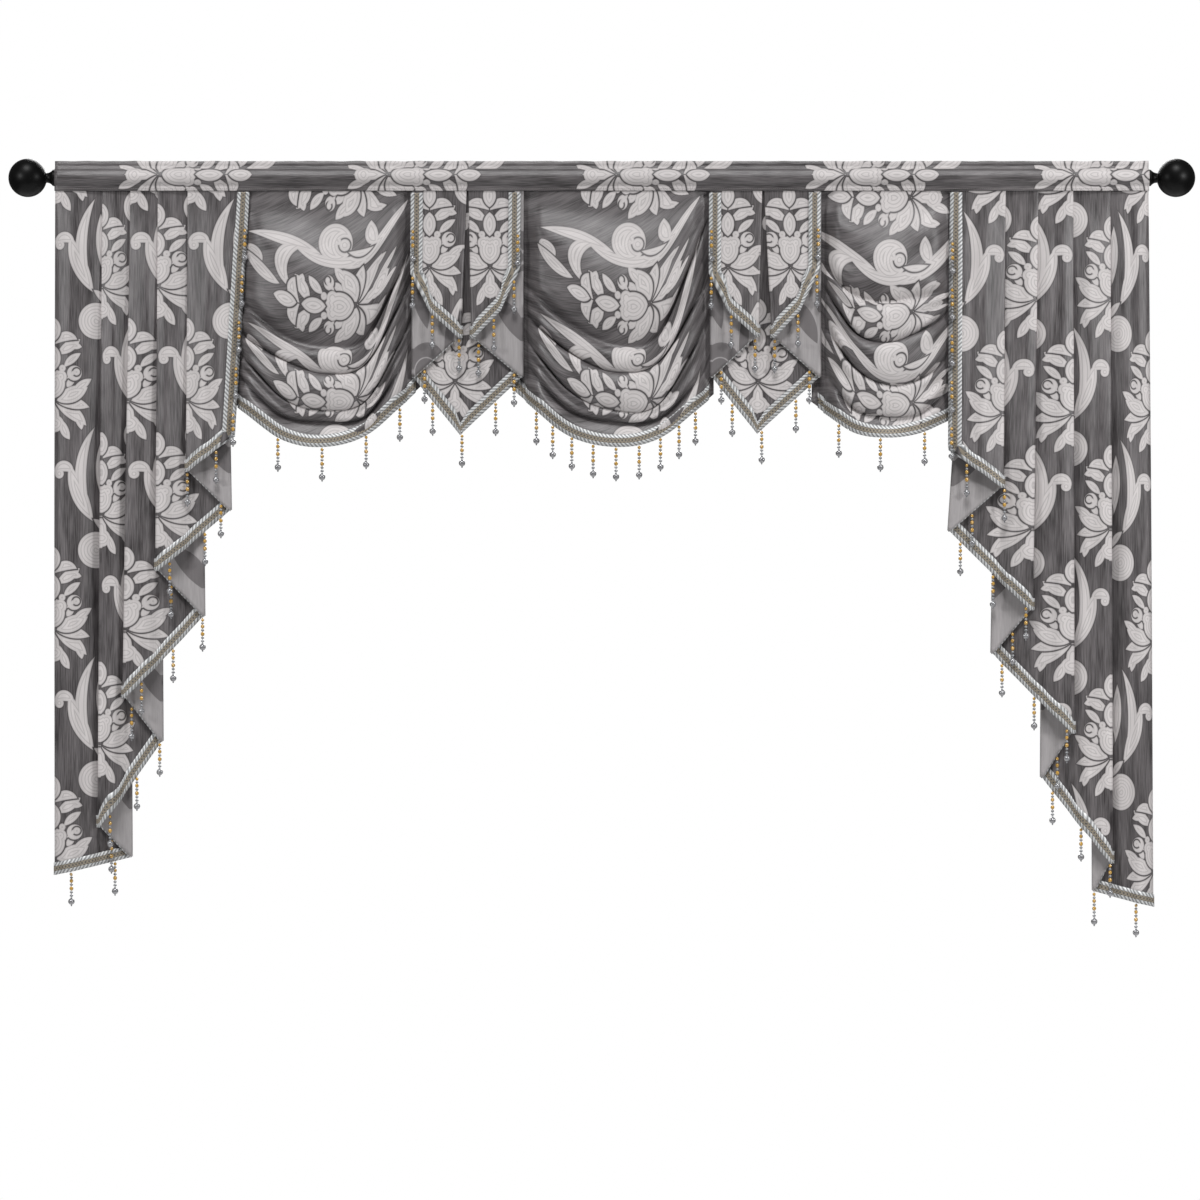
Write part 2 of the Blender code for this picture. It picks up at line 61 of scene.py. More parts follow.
def fill(tree, inputs, values):
    for key, value in values.items():
        if isinstance(value, bpy.types.NodeSocket):
            tree.links.new(value, inputs[key])
        else:
            inputs[key].default_value = value


def node(tree, kind, inputs, **settings):
    """Makes a node, its settings first and then its inputs, and gives its outputs."""
    made = tree.nodes.new("ShaderNode" + kind)
    for name, value in settings.items():
        setattr(made, name, value)
    fill(tree, made.inputs, inputs)
    return made.outputs


def maths(tree, operation, *values):
    return node(tree, "Math", dict(enumerate(values)), operation=operation)[0]


def ramp(tree, value, low, high, start=0.0, end=1.0):
    """Goes from start to end while the value goes from low to high."""
    ends = {"From Min": low, "From Max": high, "To Min": start, "To Max": end}
    return node(tree, "MapRange", {"Value": value, **ends})[0]


def shades(tree, factor, dark, light):
    """A colour between two, by a factor. Colours are sockets or (r, g, b)."""
    ends = [c if isinstance(c, bpy.types.NodeSocket) else (*c, 1.0) for c in (dark, light)]
    return node(tree, "Mix", {0: factor, 6: ends[0], 7: ends[1]}, data_type="RGBA")[2]


def new_group(name, vectors, numbers, outputs):
    """A node group with named inputs and outputs, and the sockets that wire them up inside."""
    tree = bpy.data.node_groups.new(name, "ShaderNodeTree")
    for labels, way, kind in (
        (vectors, "INPUT", "Vector"), (numbers, "INPUT", "Float"), (outputs, "OUTPUT", "Float")
    ):
        for label in labels:
            tree.interface.new_socket(label, in_out=way, socket_type="NodeSocket" + kind)
    return tree, tree.nodes.new("NodeGroupInput").outputs, tree.nodes.new("NodeGroupOutput").inputs


def new_finish(name):
    """A material, its tree and its shader's inputs."""
    material = bpy.data.materials.new(name)
    material.use_nodes = True
    return material, material.node_tree, material.node_tree.nodes["Principled BSDF"].inputs


# %% Helpers for objects


def put(name, data, place=(0, 0, 0)):
    made = bpy.data.objects.new(name, data)
    made.location = place
    bpy.context.scene.collection.objects.link(made)
    return made


def mesh_of(name, bm):
    mesh = bpy.data.meshes.new(name)
    bm.to_mesh(mesh)
    bm.free()
    return mesh


# %% [markdown]
# ## Camera and light
# A long lens from eight metres keeps the pleats upright. The camera is level, a little below
# the middle of the drape.

# %% Camera
VIEW_WIDTH = 1.973
VIEW_MIDDLE = (-0.003, -0.694)      # x and z of the middle of the picture
VIEW_DISTANCE = 8.0

camera_data = bpy.data.cameras.new("camera")
camera_data.lens = camera_data.sensor_width * VIEW_DISTANCE / VIEW_WIDTH
camera_data.clip_end = 40.0
camera = put("camera", camera_data, (VIEW_MIDDLE[0], -VIEW_DISTANCE, VIEW_MIDDLE[1]))
camera.rotation_euler = (math.pi / 2, 0, 0)
bpy.context.scene.camera = camera
print("lens:", round(camera_data.lens, 1), "mm")

# %% [markdown]
# Folds show through the change from light to shade across them, so a soft sun comes down
# steeply in front of the cloth, and a lamp at each side rakes over it. A wide lamp behind lights
# the back. The world is white where the camera sees it and dimmer where it lights the cloth.

# %% Lights and world
LIGHTS = (
    # name, kind, place, aim, size in metres or the sun's angle, power
    ("left", "AREA", (-2.4, -1.8, 0.3), (-0.6, 0, -0.6), 0.5, 23),
    ("right", "AREA", (2.4, -1.8, 0.3), (0.6, 0, -0.6), 0.5, 34),
    ("back", "AREA", (0, 3.5, 1.5), (0, 0, -0.5), 2.5, 130),
    ("sun", "SUN", (0, 0, 0), (0.05, 0.62, -1.0), 0.35, 2.3),
)
WORLD_LIGHT = 0.09          # the world's strength where it lights the cloth

for name, kind, place, aim, size, power in LIGHTS:
    data = bpy.data.lights.new(name, kind)
    setattr(data, "angle" if kind == "SUN" else "size", size)
    data.energy = power
    way = Vector(aim) - Vector(place)
    put(name, data, place).rotation_euler = way.to_track_quat("-Z", "Y").to_euler()

world = bpy.data.worlds.new("studio")
world.use_nodes = True
bpy.context.scene.world = world
bpy.context.scene.view_settings.view_transform = "Standard"
sky = world.node_tree
strength = ramp(sky, node(sky, "LightPath", {})["Is Camera Ray"], 0.0, 1.0, start=WORLD_LIGHT)
fill(sky, sky.nodes["Background"].inputs, {"Color": (1, 1, 1, 1), "Strength": strength})
print("lights:", [light.name for light in bpy.data.lights])

# %% Floor
FLOOR_HEIGHT, FLOOR_REACH = -2.1, 2.5

bm = bmesh.new()
bmesh.ops.create_grid(bm, x_segments=1, y_segments=1, size=FLOOR_REACH)
bmesh.ops.translate(bm, verts=bm.verts, vec=(0, 0, FLOOR_HEIGHT))
floor = put("floor", mesh_of("floor", bm))
floor_paint, tree, shader = new_finish("pale floor")
fill(tree, shader, {"Base Color": (0.8, 0.8, 0.8, 1), "Roughness": 0.7})
floor.data.materials.append(floor_paint)

# %% [markdown]
# ## Damask
# A damask is woven in two weaves that catch the light differently: a dark satin ground and a
# pale figure. The figure here is made of leaves and petals, and each of those lies between two
# arcs of a circle, as if drawn with a compass. A point's distance inside both circles tells
# where the leaf is. Leaves are laid one over another, and each keeps a thin dark line round it.
#
# Cloth is measured in millimetres from the foot of one flower: x across and y upwards.

# %% One petal
OUTLINE = 2.1               # width of the thin dark line
NO_OUTLINE = -1000.0        # for a petal that is joined to what is under it
BARE = -1000.0              # the field where no petal lies
FLATTEST = 0.2              # least bulge of a petal's side
petal_tree, given, result = new_group(
    "petal", ("Point", "Centre a", "Centre b"),
    ("Field", "Outline", "Way a", "Reach a", "Way b", "Reach b"), ("Field",),
)
insides = []
for side in "ab":
    ends = {0: given["Point"], 1: given["Centre " + side]}
    far = node(petal_tree, "VectorMath", ends, operation="DISTANCE")["Value"]
    insides.append(maths(petal_tree, "MULTIPLY_ADD", far, given["Way " + side], given["Reach " + side]))
inside = maths(petal_tree, "MINIMUM", *insides)
room = maths(petal_tree, "SUBTRACT", maths(petal_tree, "MULTIPLY", inside, -1.0), given["Outline"])
under = maths(petal_tree, "MINIMUM", given["Field"], room)
petal_tree.links.new(maths(petal_tree, "MAXIMUM", under, inside), result["Field"])


def arc_through(start, end, bulge):
    """The circle through two points whose arc bulges this far to the left of the way from start
    to end: its centre, -1 where the leaf lies inside it or +1 where it lies outside, its reach."""
    chord = Vector(end) - Vector(start)
    left = Vector((-chord.y, chord.x)).normalized()
    size = max(abs(bulge), FLATTEST)
    radius = (chord.length**2 / 4 + size**2) / (2 * size)
    sign = math.copysign(1.0, bulge)
    centre = (Vector(start) + Vector(end)) / 2 - left * sign * (radius - size)
    return (*centre, 0), -sign, sign * radius


def draw_petals(tree, point, field, table):
    """Lays the table's petals over a field. A joined petal grows out of what is under it."""
    for x0, y0, x1, y1, left, right, joined in table:
        inputs = {"Point": point, "Field": field, "Outline": NO_OUTLINE if joined else OUTLINE}
        arcs = {"a": arc_through((x0, y0), (x1, y1), left), "b": arc_through((x1, y1), (x0, y0), right)}
        for side, arc in arcs.items():
            inputs.update(zip(("Centre " + side, "Way " + side, "Reach " + side), arc))
        field = node(tree, "Group", inputs, node_tree=petal_tree)["Field"]
    return field


print("petal group:", len(petal_tree.nodes), "nodes")

# %% [markdown]
# The flower is a palmette, the same on both sides of its middle line, so only its right half is
# listed and the left one is its mirror image. Rows go from the back to the front.

# %% The palmette
PALMETTE = (
    # from x, y, to x, y, bulge left and right of that way, joined
    (13, -33, 27, -66, 5, 10, 0), (0, -3, 0, -56, 9, 9, 0), (-17, -38, 17, -38, 13, 16, 1),
    (2, -6, 55, -43, 15, 7, 0), (35, -27, 47, -50, 9, 3, 1),
    (4, -4, 60, -13, 12, 7, 0), (4, -2, 57, 20, 12, 14, 0), (30, 10, 63, 34, 8, 7, 1),
    (22, 20, 34, 35, 6, 5, 1), (22, 43, 47, 43, 12.5, 12.5, 0), (32, 45, 44, 45, 6, 6, 0),
    (37, 49, 22, 34, 4, 3, 1), (17, 53, 45, 76, 8, 5, 0),
    (5, 75, 44, 99, 8, 10, 0), (22, 95, 47, 86, 5, 8, 1),
    (0, 2, 0, 50, 19, 19, 0), (0, 37, 22, 37, 11, 11, 1), (8, 51, 20, 51, 6, 6, 1),
    (0, 48, 0, 88, 11, 11, 0), (1, 91, 39, 98, 17, -1, 0), (0, 96, 0, 134, 11, 11, 0),
)
# Beside it a scroll winds up the cloth: a long wave, a round curled head and forked leaves.
SCROLL = (
    (62, 176, 36, 156, 13, 13, 0), (50, 182, 19, 124, 4, 18, 0), (80, 80, 18, 102, -20, 42, 0),
    (72, -36, 115, -25, 15, 5, 0), (127, -84, 52, 22, 30, -8, 1), (92, 112, 84, -50, -21, 37, 1),
    (84, 178, 70, 56, 20, -1, 1), (87, 5, 87, 61, 28, 28, 1),
    (84, 9, 84, 27, 9, 9, 0), (84, 24, 100, 38, 6, 6, 1), (74, 12, 71, -30, 2, 8, 0),
)
# On the straight cloths the scroll reads as a pair of leaves above a disc: a short one that
# hooks over, and a tall one that curves round it.
SPRAY = (
    (66, -12, 26, 82, 17, 9, 0), (1, 66, 33, 67, 21, -3, 1), (1, 66, 17, 66, 8, 8, 1),
    (66, -12, 68, 142, 31, -12, 1), (84, 20, 78, 118, 11, 8, 0),
    (41, -59, 101, -59, 30, 30, 0), (66, -8, 88, -34, 9, 3, 0),
    (86, 24, 162, 24, 38, 38, 0), (104, 14, 148, 14, 22, 22, 0),
    (98, -128, 158, -52, 22, 10, 0), (124, 84, 152, 176, 15, 13, 0),
)
REPEAT = 376.0          # height of the pattern before it comes again
COLUMN = 173.0          # from one flower's middle line to the next one

# %% [markdown]
# The cloth's own coordinates come as a UV map. The group finds the nearest flower for the
# palmette, and the flower to the left for the scroll. On straight cloth each column of flowers
# lies half a repeat off the one beside it.

# %% The whole figure
FLOWER_CENTRE, SCROLL_CENTRE = 30.0, 40.0       # heights of the middle of one repeat
SLIMMING = 0.0026           # draws the flower's far petals in, on turned cloth
JABOT_COLUMN = 228.0


def figure_group(name, flower, beside, beside_centre, column, drop):
    """The damask's figure: how far a point lies inside a leaf, in millimetres."""
    tree, given, result = new_group(name, ("Cloth",), (), ("Field",))
    cloth = node(tree, "SeparateXYZ", {0: given["Cloth"]})
    x, y = (maths(tree, "MULTIPLY", cloth[axis], 1 / MM) for axis in "XY")
    share = maths(tree, "DIVIDE", x, column)
    field = BARE
    for choose, table, middle in (("FLOOR", beside, beside_centre), ("ROUND", flower, FLOWER_CENTRE)):
        number = maths(tree, choose, share)
        across = maths(tree, "MULTIPLY", maths(tree, "SUBTRACT", share, number), column)
        if table is flower:                     # its left half mirrors the right one
            across = maths(tree, "ABSOLUTE", across)
        up = maths(tree, "MULTIPLY_ADD", number, drop * REPEAT, y)
        up = maths(tree, "WRAP", up, middle + REPEAT / 2, middle - REPEAT / 2)
        point = node(tree, "CombineXYZ", {"X": across, "Y": up})[0]
        field = draw_petals(tree, point, field, table)
    tree.links.new(field, result["Field"])
    return tree


slim_flower = [
    (x0 - SLIMMING * x0**2, y0, x1 - SLIMMING * x1**2, y1, *rest) for x0, y0, x1, y1, *rest in PALMETTE
]
hung_spray = [(x0, y0 + REPEAT / 2, x1, y1 + REPEAT / 2, *rest) for x0, y0, x1, y1, *rest in SPRAY]
hung = (PALMETTE, hung_spray, REPEAT / 2 + SCROLL_CENTRE)
turned_figure = figure_group("figure on turned cloth", slim_flower, SCROLL, SCROLL_CENTRE, COLUMN, 0.0)
hung_figure = figure_group("figure on tails", *hung, COLUMN, -0.5)
jabot_figure = figure_group("figure on jabots", *hung, JABOT_COLUMN, 0.5)
print("petals:", len(PALMETTE), "and", len(SCROLL), "or", len(SPRAY))

# %% [markdown]
# Satin shows fine uneven streaks where the yarn runs, and a shallow ribbed relief. The streaks are a noise
# stretched along the yarn: it lies upright on the tails and slants on the swags, which are cut on the cross.
# In the colour, their lighter parts are partly the yarn's uneven tone and partly painted satin sheen.

# %% Satin streaks
STREAKS = (
    # output, noise scale across and along the yarn per metre, detail
    ("Streaks", (620.0, 26.0, 1.0), 4.0),
    ("Patches", (60.0, 7.0, 1.0), 3.0),
)
RIB_PITCH = 0.0011
satin_tree, given, result = new_group("satin", ("Cloth",), ("Slant",), ("Streaks", "Patches", "Ribs"))
turn = {"Vector": given["Cloth"], "Angle": given["Slant"]}
turned_cloth = node(satin_tree, "VectorRotate", turn, rotation_type="Z_AXIS")[0]
for label, scale, detail in STREAKS:
    stretched = node(satin_tree, "VectorMath", {0: turned_cloth, 1: scale}, operation="MULTIPLY")[0]
    streak = node(satin_tree, "TexNoise", {"Vector": stretched, "Scale": 1.0, "Detail": detail})
    satin_tree.links.new(streak["Fac"], result[label])
across_ribs = node(satin_tree, "SeparateXYZ", {0: turned_cloth})["X"]
ribs = maths(satin_tree, "SINE", maths(satin_tree, "MULTIPLY", across_ribs, math.tau / RIB_PITCH))
satin_tree.links.new(ribs, result["Ribs"])

# %% Damask finishes
GROUND = (0.033, 0.029, 0.030)
GROUND_LIGHT = (0.182, 0.168, 0.172)
FIGURE = (0.47, 0.443, 0.441)
FIGURE_LIGHT = (0.64, 0.606, 0.602)
LINE = (0.036, 0.031, 0.033)
VEIN = (0.25, 0.235, 0.236)
VEIN_PITCH = 5.2            # between the fine lines inside a leaf
REVERSE_GROUND = (0.30, 0.285, 0.288)
REVERSE_FIGURE = (0.135, 0.125, 0.128)
STREAK_RANGE, PATCH_RANGE = (0.37, 0.64), (0.36, 0.66)      # of the noises, from dull to bright
LINE_STRENGTH, VEIN_STRENGTH = 0.65, 0.42
# Painted highlight: a leaf is painted paler towards its middle, as if a raised middle caught the light.
PAINTED_RELIEF_REACH = 6.0                # a leaf is palest this far inside its edge
GROUND_GLEAM, FIGURE_GLEAM = 1.35, 1.2      # how much lighter the reverse's streaks are
GROUND_GLOSS, FIGURE_GLOSS = 0.38, 0.6


def damask(name, figure, slant, reverse=False):
    material, tree, shader = new_finish(name)
    cloth = node(tree, "UVMap", {}, uv_map="cloth")["UV"]
    satin = node(tree, "Group", {"Cloth": cloth, "Slant": slant}, node_tree=satin_tree)
    field = node(tree, "Group", {"Cloth": cloth}, node_tree=figure)["Field"]
    patch = ramp(tree, satin["Patches"], *PATCH_RANGE, end=0.5)
    # Streaks and patches lighten the colour: partly the yarn's uneven tone, partly painted satin sheen.
    yarn_tone_and_painted_sheen = maths(tree, "ADD", ramp(tree, satin["Streaks"], *STREAK_RANGE, end=0.5), patch)
    woven = ramp(tree, field, -0.5, 0.5)
    if reverse:
        ground = shades(tree, yarn_tone_and_painted_sheen, REVERSE_GROUND, [c * GROUND_GLEAM for c in REVERSE_GROUND])
        pale = shades(tree, yarn_tone_and_painted_sheen, REVERSE_FIGURE, [c * FIGURE_GLEAM for c in REVERSE_FIGURE])
    else:
        ground = shades(tree, yarn_tone_and_painted_sheen, GROUND, GROUND_LIGHT)
        ground = shades(tree, ramp(tree, field, -OUTLINE, -0.4, end=LINE_STRENGTH), ground, LINE)
        # The figure's paleness mixes the streaks, partly painted sheen, with a painted relief highlight
        # towards each leaf's middle.
        figure_streaks_and_painted_relief = maths(tree, "MULTIPLY_ADD", yarn_tone_and_painted_sheen, 0.5, ramp(tree, field, 0.0, PAINTED_RELIEF_REACH, end=0.5))
        pale = shades(tree, figure_streaks_and_painted_relief, FIGURE, FIGURE_LIGHT)
        echo = ramp(tree, maths(tree, "PINGPONG", field, VEIN_PITCH / 2), 1.1, 0.4, end=VEIN_STRENGTH)
        pale = shades(tree, echo, pale, VEIN)
    relief = maths(tree, "MULTIPLY_ADD", satin["Ribs"], 0.3, satin["Streaks"])
    fill(tree, shader, {
        "Base Color": shades(tree, woven, ground, pale),
        "Roughness": ramp(tree, woven, 0.0, 1.0, GROUND_GLOSS, FIGURE_GLOSS),
        "Sheen Weight": 0.1, "Sheen Roughness": 0.4,
        "Normal": node(tree, "Bump", {"Strength": 0.25, "Distance": 0.0006, "Height": relief})[0],
    })
    return material


SWAG_SLANT = math.radians(-28)
damasks = {}                # face and reverse for each kind of cloth
for kind, figure, slant in (
    ("tail", hung_figure, 0.0), ("jabot", jabot_figure, 0.0), ("swag", turned_figure, SWAG_SLANT)
):
    face = damask(kind + " damask", figure, slant)
    damasks[kind] = (face, damask(kind + " damask, reverse", figure, slant, reverse=True))
damasks["heading"] = (damask("heading damask", turned_figure, 0.0), damasks["swag"][1])
print("damask finishes:", [m.name for m in bpy.data.materials if "damask" in m.name])

# %% [markdown]
# ## The other finishes
# The rod and its balls are painted a satin black. The beads are amber glass, pewter and a grey
# pearl.

# %% Paint, thread and beads


def finish(name, dark, light, roughness, metallic=0.0, scale=80.0, coat=0.0, specular=0.5):
    """A plain finish whose colour and gloss vary a little over the surface."""
    material, tree, shader = new_finish(name)
    place = node(tree, "TexCoord", {})["Object"]
    mottle = node(tree, "TexNoise", {"Vector": place, "Scale": scale, "Detail": 3.0})["Fac"]
    fill(tree, shader, {
        "Base Color": shades(tree, mottle, dark, light),
        "Roughness": ramp(tree, mottle, 0.0, 1.0, *roughness), "Metallic": metallic,
        "Coat Weight": coat, "Specular IOR Level": specular,
    })
    return material


black_paint = finish("satin black paint", [0.0015] * 3, [0.004] * 3, (0.35, 0.45), specular=0.15)
thread = finish("grey thread", (0.16, 0.15, 0.15), (0.3, 0.29, 0.28), (0.6, 0.8), scale=900.0)
amber = finish("amber glass", (0.44, 0.24, 0.035), (0.62, 0.37, 0.08), (0.12, 0.2), 0.0, 300.0, 1.0)
pewter = finish("pewter", (0.20, 0.205, 0.215), (0.38, 0.39, 0.405), (0.25, 0.35), 0.3, 500.0)
pearl = finish("grey pearl", (0.20, 0.20, 0.21), (0.36, 0.36, 0.375), (0.12, 0.2), 0.3, 200.0, 1.0)
print("plain finishes:", [m.name for m in (black_paint, thread, amber, pewter, pearl)])

# %% [markdown]
# The braid has a twisted silver cord along each edge and a gold zigzag between them. Its UV map
# gives the length along the braid and the way across it, so both are drawn by formula.

# %% Braid finish
BRAID_WIDTH = 20.0
CORD_SHARE = 0.3            # of the braid's width, at each edge
ZIGZAG = 12.0               # length of one zigzag
TWIST = 7.0                 # length of one turn of an edge cord
TWIST_LEAN = 9.0            # how far the cords' turns lean, across the braid
ZIGZAG_REACH = 1.0 - 2 * CORD_SHARE         # of the braid's half width

braid, tree, shader = new_finish("braid")
lay = node(tree, "SeparateXYZ", {0: node(tree, "UVMap", {}, uv_map="cloth")["UV"]})
run = maths(tree, "MULTIPLY", lay["X"], 1 / MM)
side = maths(tree, "MULTIPLY_ADD", lay["Y"], 2 / (BRAID_WIDTH * MM), -1.0)
is_cord = maths(tree, "GREATER_THAN", maths(tree, "ABSOLUTE", side), ZIGZAG_REACH)
wave = maths(tree, "PINGPONG", run, ZIGZAG / 2)
wave = maths(tree, "MULTIPLY_ADD", wave, 4 * ZIGZAG_REACH / ZIGZAG, -ZIGZAG_REACH)
near = [maths(tree, "ABSOLUTE", maths(tree, how, side, wave)) for how in ("SUBTRACT", "ADD")]
gold = ramp(tree, maths(tree, "MINIMUM", *near), 0.24, 0.1)
strand = maths(tree, "MULTIPLY_ADD", run, math.tau / TWIST, maths(tree, "MULTIPLY", side, TWIST_LEAN))
strand = maths(tree, "MULTIPLY_ADD", maths(tree, "SINE", strand), 0.5, 0.5)
# Painted shade and highlight: each cord's silver is painted dark in the grooves of its twist and pale on the
# crests, after the same wave as its relief.
silver_and_twist_shade = shades(tree, strand, (0.21, 0.215, 0.22), (0.70, 0.71, 0.715))
middle = shades(tree, gold, (0.10, 0.097, 0.092), (0.29, 0.25, 0.195))
fibre = node(tree, "TexNoise", {"Vector": node(tree, "TexCoord", {})["Object"], "Scale": 1500.0})["Fac"]
relief = maths(tree, "ADD", maths(tree, "ADD", strand, gold), fibre)
fill(tree, shader, {
    "Base Color": shades(tree, is_cord, middle, silver_and_twist_shade), "Metallic": 0.25,
    "Roughness": ramp(tree, fibre, 0.0, 1.0, 0.35, 0.6),
    "Normal": node(tree, "Bump", {"Strength": 0.5, "Distance": 0.0004, "Height": relief})[0],
})
print("braid:", len(tree.nodes), "nodes")

# %% [markdown]
# ## Shape helpers
# A cloth starts as a flat grid. Each corner of the grid is moved to its place on the hung
# cloth, and also keeps its place on the flat cloth, as UV, for the weave. Solidify then gives
# the sheet its thickness, with the damask's reverse on the back.

# %% Curves and sheets
CLOTH = 1.2
SEAM_TOP = -15.5
HEADING_BOTTOM = -22.0
FRONT_LAYER = -7.2
SEAM_PITCH = 1.8
GAP = 0.3


def clamp(value):
    return min(max(value, 0.0), 1.0)


def ease(value):
    t = clamp(value)
    return t * t * (3.0 - 2.0 * t)


def below_heading(z, reach):
    """Goes from 0 at the heading's lower edge to 1 at a drop of reach."""
    return ease((HEADING_BOTTOM - z) / reach)


def mix(a, b, t):
    return a + (b - a) * t


def evenly(start, end, count):
    return [mix(start, end, k / count) for k in range(count + 1)]


def along(xs, values, x):
    """Straight-line reading of a table, held level past its ends."""
    if x <= xs[0]:
        return values[0]
    for x0, x1, a, b in zip(xs, xs[1:], values, values[1:]):
        if x <= x1:
            return mix(a, b, (x - x0) / (x1 - x0))
    return values[-1]


def curve_through(xs, values, x):
    """A smooth curve through a table, carried on straight past its ends."""
    slopes = [(b - a) / (x1 - x0) for x0, x1, a, b in zip(xs, xs[1:], values, values[1:])]
    if x <= xs[0]:
        return values[0] + slopes[0] * (x - xs[0])
    if x >= xs[-1]:
        return values[-1] + slopes[-1] * (x - xs[-1])
    tangents = [slopes[0], *((a + b) / 2.0 for a, b in zip(slopes, slopes[1:])), slopes[-1]]
    k = max(i for i in range(len(xs) - 1) if x >= xs[i])
    width = xs[k + 1] - xs[k]
    t = (x - xs[k]) / width
    return (
        (2 * t**3 - 3 * t**2 + 1) * values[k] + (t**3 - 2 * t**2 + t) * width * tangents[k]
        + (3 * t**2 - 2 * t**3) * values[k + 1] + (t**3 - t**2) * width * tangents[k + 1]
    )


def walk(points):
    """The distance walked along the points, at every one of them."""
    return list(accumulate(map(math.dist, points, points[1:]), initial=0.0))


def finish_piece(name, bm, materials, replaced=()):
    """Turns a bmesh into a smooth piece that rides on the part and stands for its solids."""
    piece = put(name, mesh_of(name, bm))
    for material in materials:
        piece.data.materials.append(material)
    piece.data.shade_smooth()
    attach(piece, "root")
    if replaced:
        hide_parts(*replaced)
    print(name, len(piece.data.polygons), "faces")
    return piece


def moved_grid(rows, flat_rows):
    """A grid with its corners moved to rows of points, top row first, and with the matching
    places on the flat cloth as its UV map."""
    across, down = len(rows[0]) - 1, len(rows) - 1
    bm = bmesh.new()
    bmesh.ops.create_grid(bm, x_segments=across, y_segments=down, size=1.0)
    uv = bm.loops.layers.uv.new("cloth")
    places = {}
    for vert in bm.verts:
        column = round((vert.co.x + 1.0) / 2.0 * across)
        row = round((1.0 - vert.co.y) / 2.0 * down)
        places[vert] = Vector(flat_rows[row][column]) * MM
        vert.co = Vector(rows[row][column]) * MM
    for face in bm.faces:
        for loop in face.loops:
            loop[uv].uv = places[loop.vert]
    return bm


def cloth_sheet(part, rows, flat_rows):
    """A part's cloth with its thickness, turned so that its face looks forwards."""
    if rows[0][0][0] > rows[0][-1][0]:
        rows, flat_rows = ([row[::-1] for row in grid] for grid in (rows, flat_rows))
    kind = part.split("_")[0]
    piece = finish_piece(part + "_cloth", moved_grid(rows, flat_rows), damasks[kind], (part,))
    wall = piece.modifiers.new("Thickness", "SOLIDIFY")
    wall.thickness = CLOTH * MM
    wall.offset = 0.0
    wall.use_even_offset = kind in ("tail", "jabot")
    wall.material_offset = 1


# %% [markdown]
# ## Rod and balls
# The rod's solid is right as it is and only needs its paint. Each ball is turned again with a
# finer profile: the ball, a narrow neck and a small collar against the end of the rod.

# %% Rod and finials
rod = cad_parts["rod"]
rod.data.materials.clear()
rod.data.materials.append(black_paint)

BALL_RADIUS, BALL_CENTRE = 31.5, 944.0
NECK_RADIUS = 8.0
COLLAR_RADIUS, COLLAR_X = 13.5, 900.6
BALL_RINGS, BALL_SEGMENTS = 36, 72
COLLAR_ROUNDING = ((2.0, 0.15), (1.4, 0.0), (0.6, 0.0), (0.15, 0.25), (0.0, 0.8))
NECK_STEPS = 6


def build_finial(name, side):
    neck_angle = math.asin(NECK_RADIUS / BALL_RADIUS)
    profile = [(BALL_CENTRE + BALL_RADIUS, 0)]
    for angle in evenly(math.pi, neck_angle, BALL_RINGS)[1:]:
        profile.append((BALL_CENTRE - BALL_RADIUS * math.cos(angle), BALL_RADIUS * math.sin(angle)))
    neck_x = profile[-1][0]
    for t in evenly(0.0, 1.0, NECK_STEPS)[1:]:      # the neck hollows towards the collar
        profile.append((mix(neck_x, COLLAR_X + 2.2, t), mix(NECK_RADIUS, COLLAR_RADIUS - 0.6, t**2.5)))
    profile += [(COLLAR_X + off, COLLAR_RADIUS - dip) for off, dip in COLLAR_ROUNDING]
    profile.append((COLLAR_X, 0))
    bm = bmesh.new()
    verts = [bm.verts.new((side * d * MM, r * MM, 0)) for d, r in profile]
    edges = [bm.edges.new(pair) for pair in zip(verts, verts[1:])]
    bmesh.ops.spin(bm, geom=verts + edges, cent=(0, 0, 0), axis=(1, 0, 0), angle=math.tau,
                   steps=BALL_SEGMENTS, use_merge=True)
    bmesh.ops.remove_doubles(bm, verts=bm.verts, dist=1e-6)
    bmesh.ops.recalc_face_normals(bm, faces=bm.faces)
    finish_piece("ball_" + name, bm, (black_paint,), ("finial_" + name,))


for name, side in (("left", -1), ("right", 1)):
    build_finial(name, side)

# %% [markdown]
# ## Heading
# The band is one straight strip. It goes up from its back hem, round the rod, stands up as a
# narrow header and comes down again in front, where it covers the tops of the pieces that hang
# from it. It is thicker where more layers of them are held in it.

# %% The band round the rod
HEADING_HALF_LENGTH = 899.0
HEADING_TOP = 28.6
POCKET_KNEE = -17.5
SEAM_EASE = 0.15
ROD_RADIUS = 14.0
BAND_STEP = 6.0
FLOWER_POINT = 11           # the flowers' middle line lies on this point, from the front hem
BAND_FLOWER = -718.0        # x of the first flower
BAND_DRAW = 10.0            # how far each flower's ends are drawn out along the band
BAND_DRAW_FROM = 34.0       # where on the pattern that stretch is nil
LIP_FOOT = 22.0             # height where the header's two layers part round the rod
BACK_STEPS, FRONT_STEPS, HEM_STEPS = 18, 14, 4
HEADING_FRONT = FRONT_LAYER - CLOTH - GAP - SEAM_EASE
HEADING_LAYERS = (
    # x, layers held in the band
    (-HEADING_HALF_LENGTH, 5), (-616, 5), (-606, 2), (-556, 2), (-544, 1), (-358, 1), (-344, 4),
    (-106, 4), (-92, 1), (130, 1), (144, 4), (388, 4), (402, 1), (528, 1), (540, 2), (592, 2),
    (603, 5), (HEADING_HALF_LENGTH, 5),
)


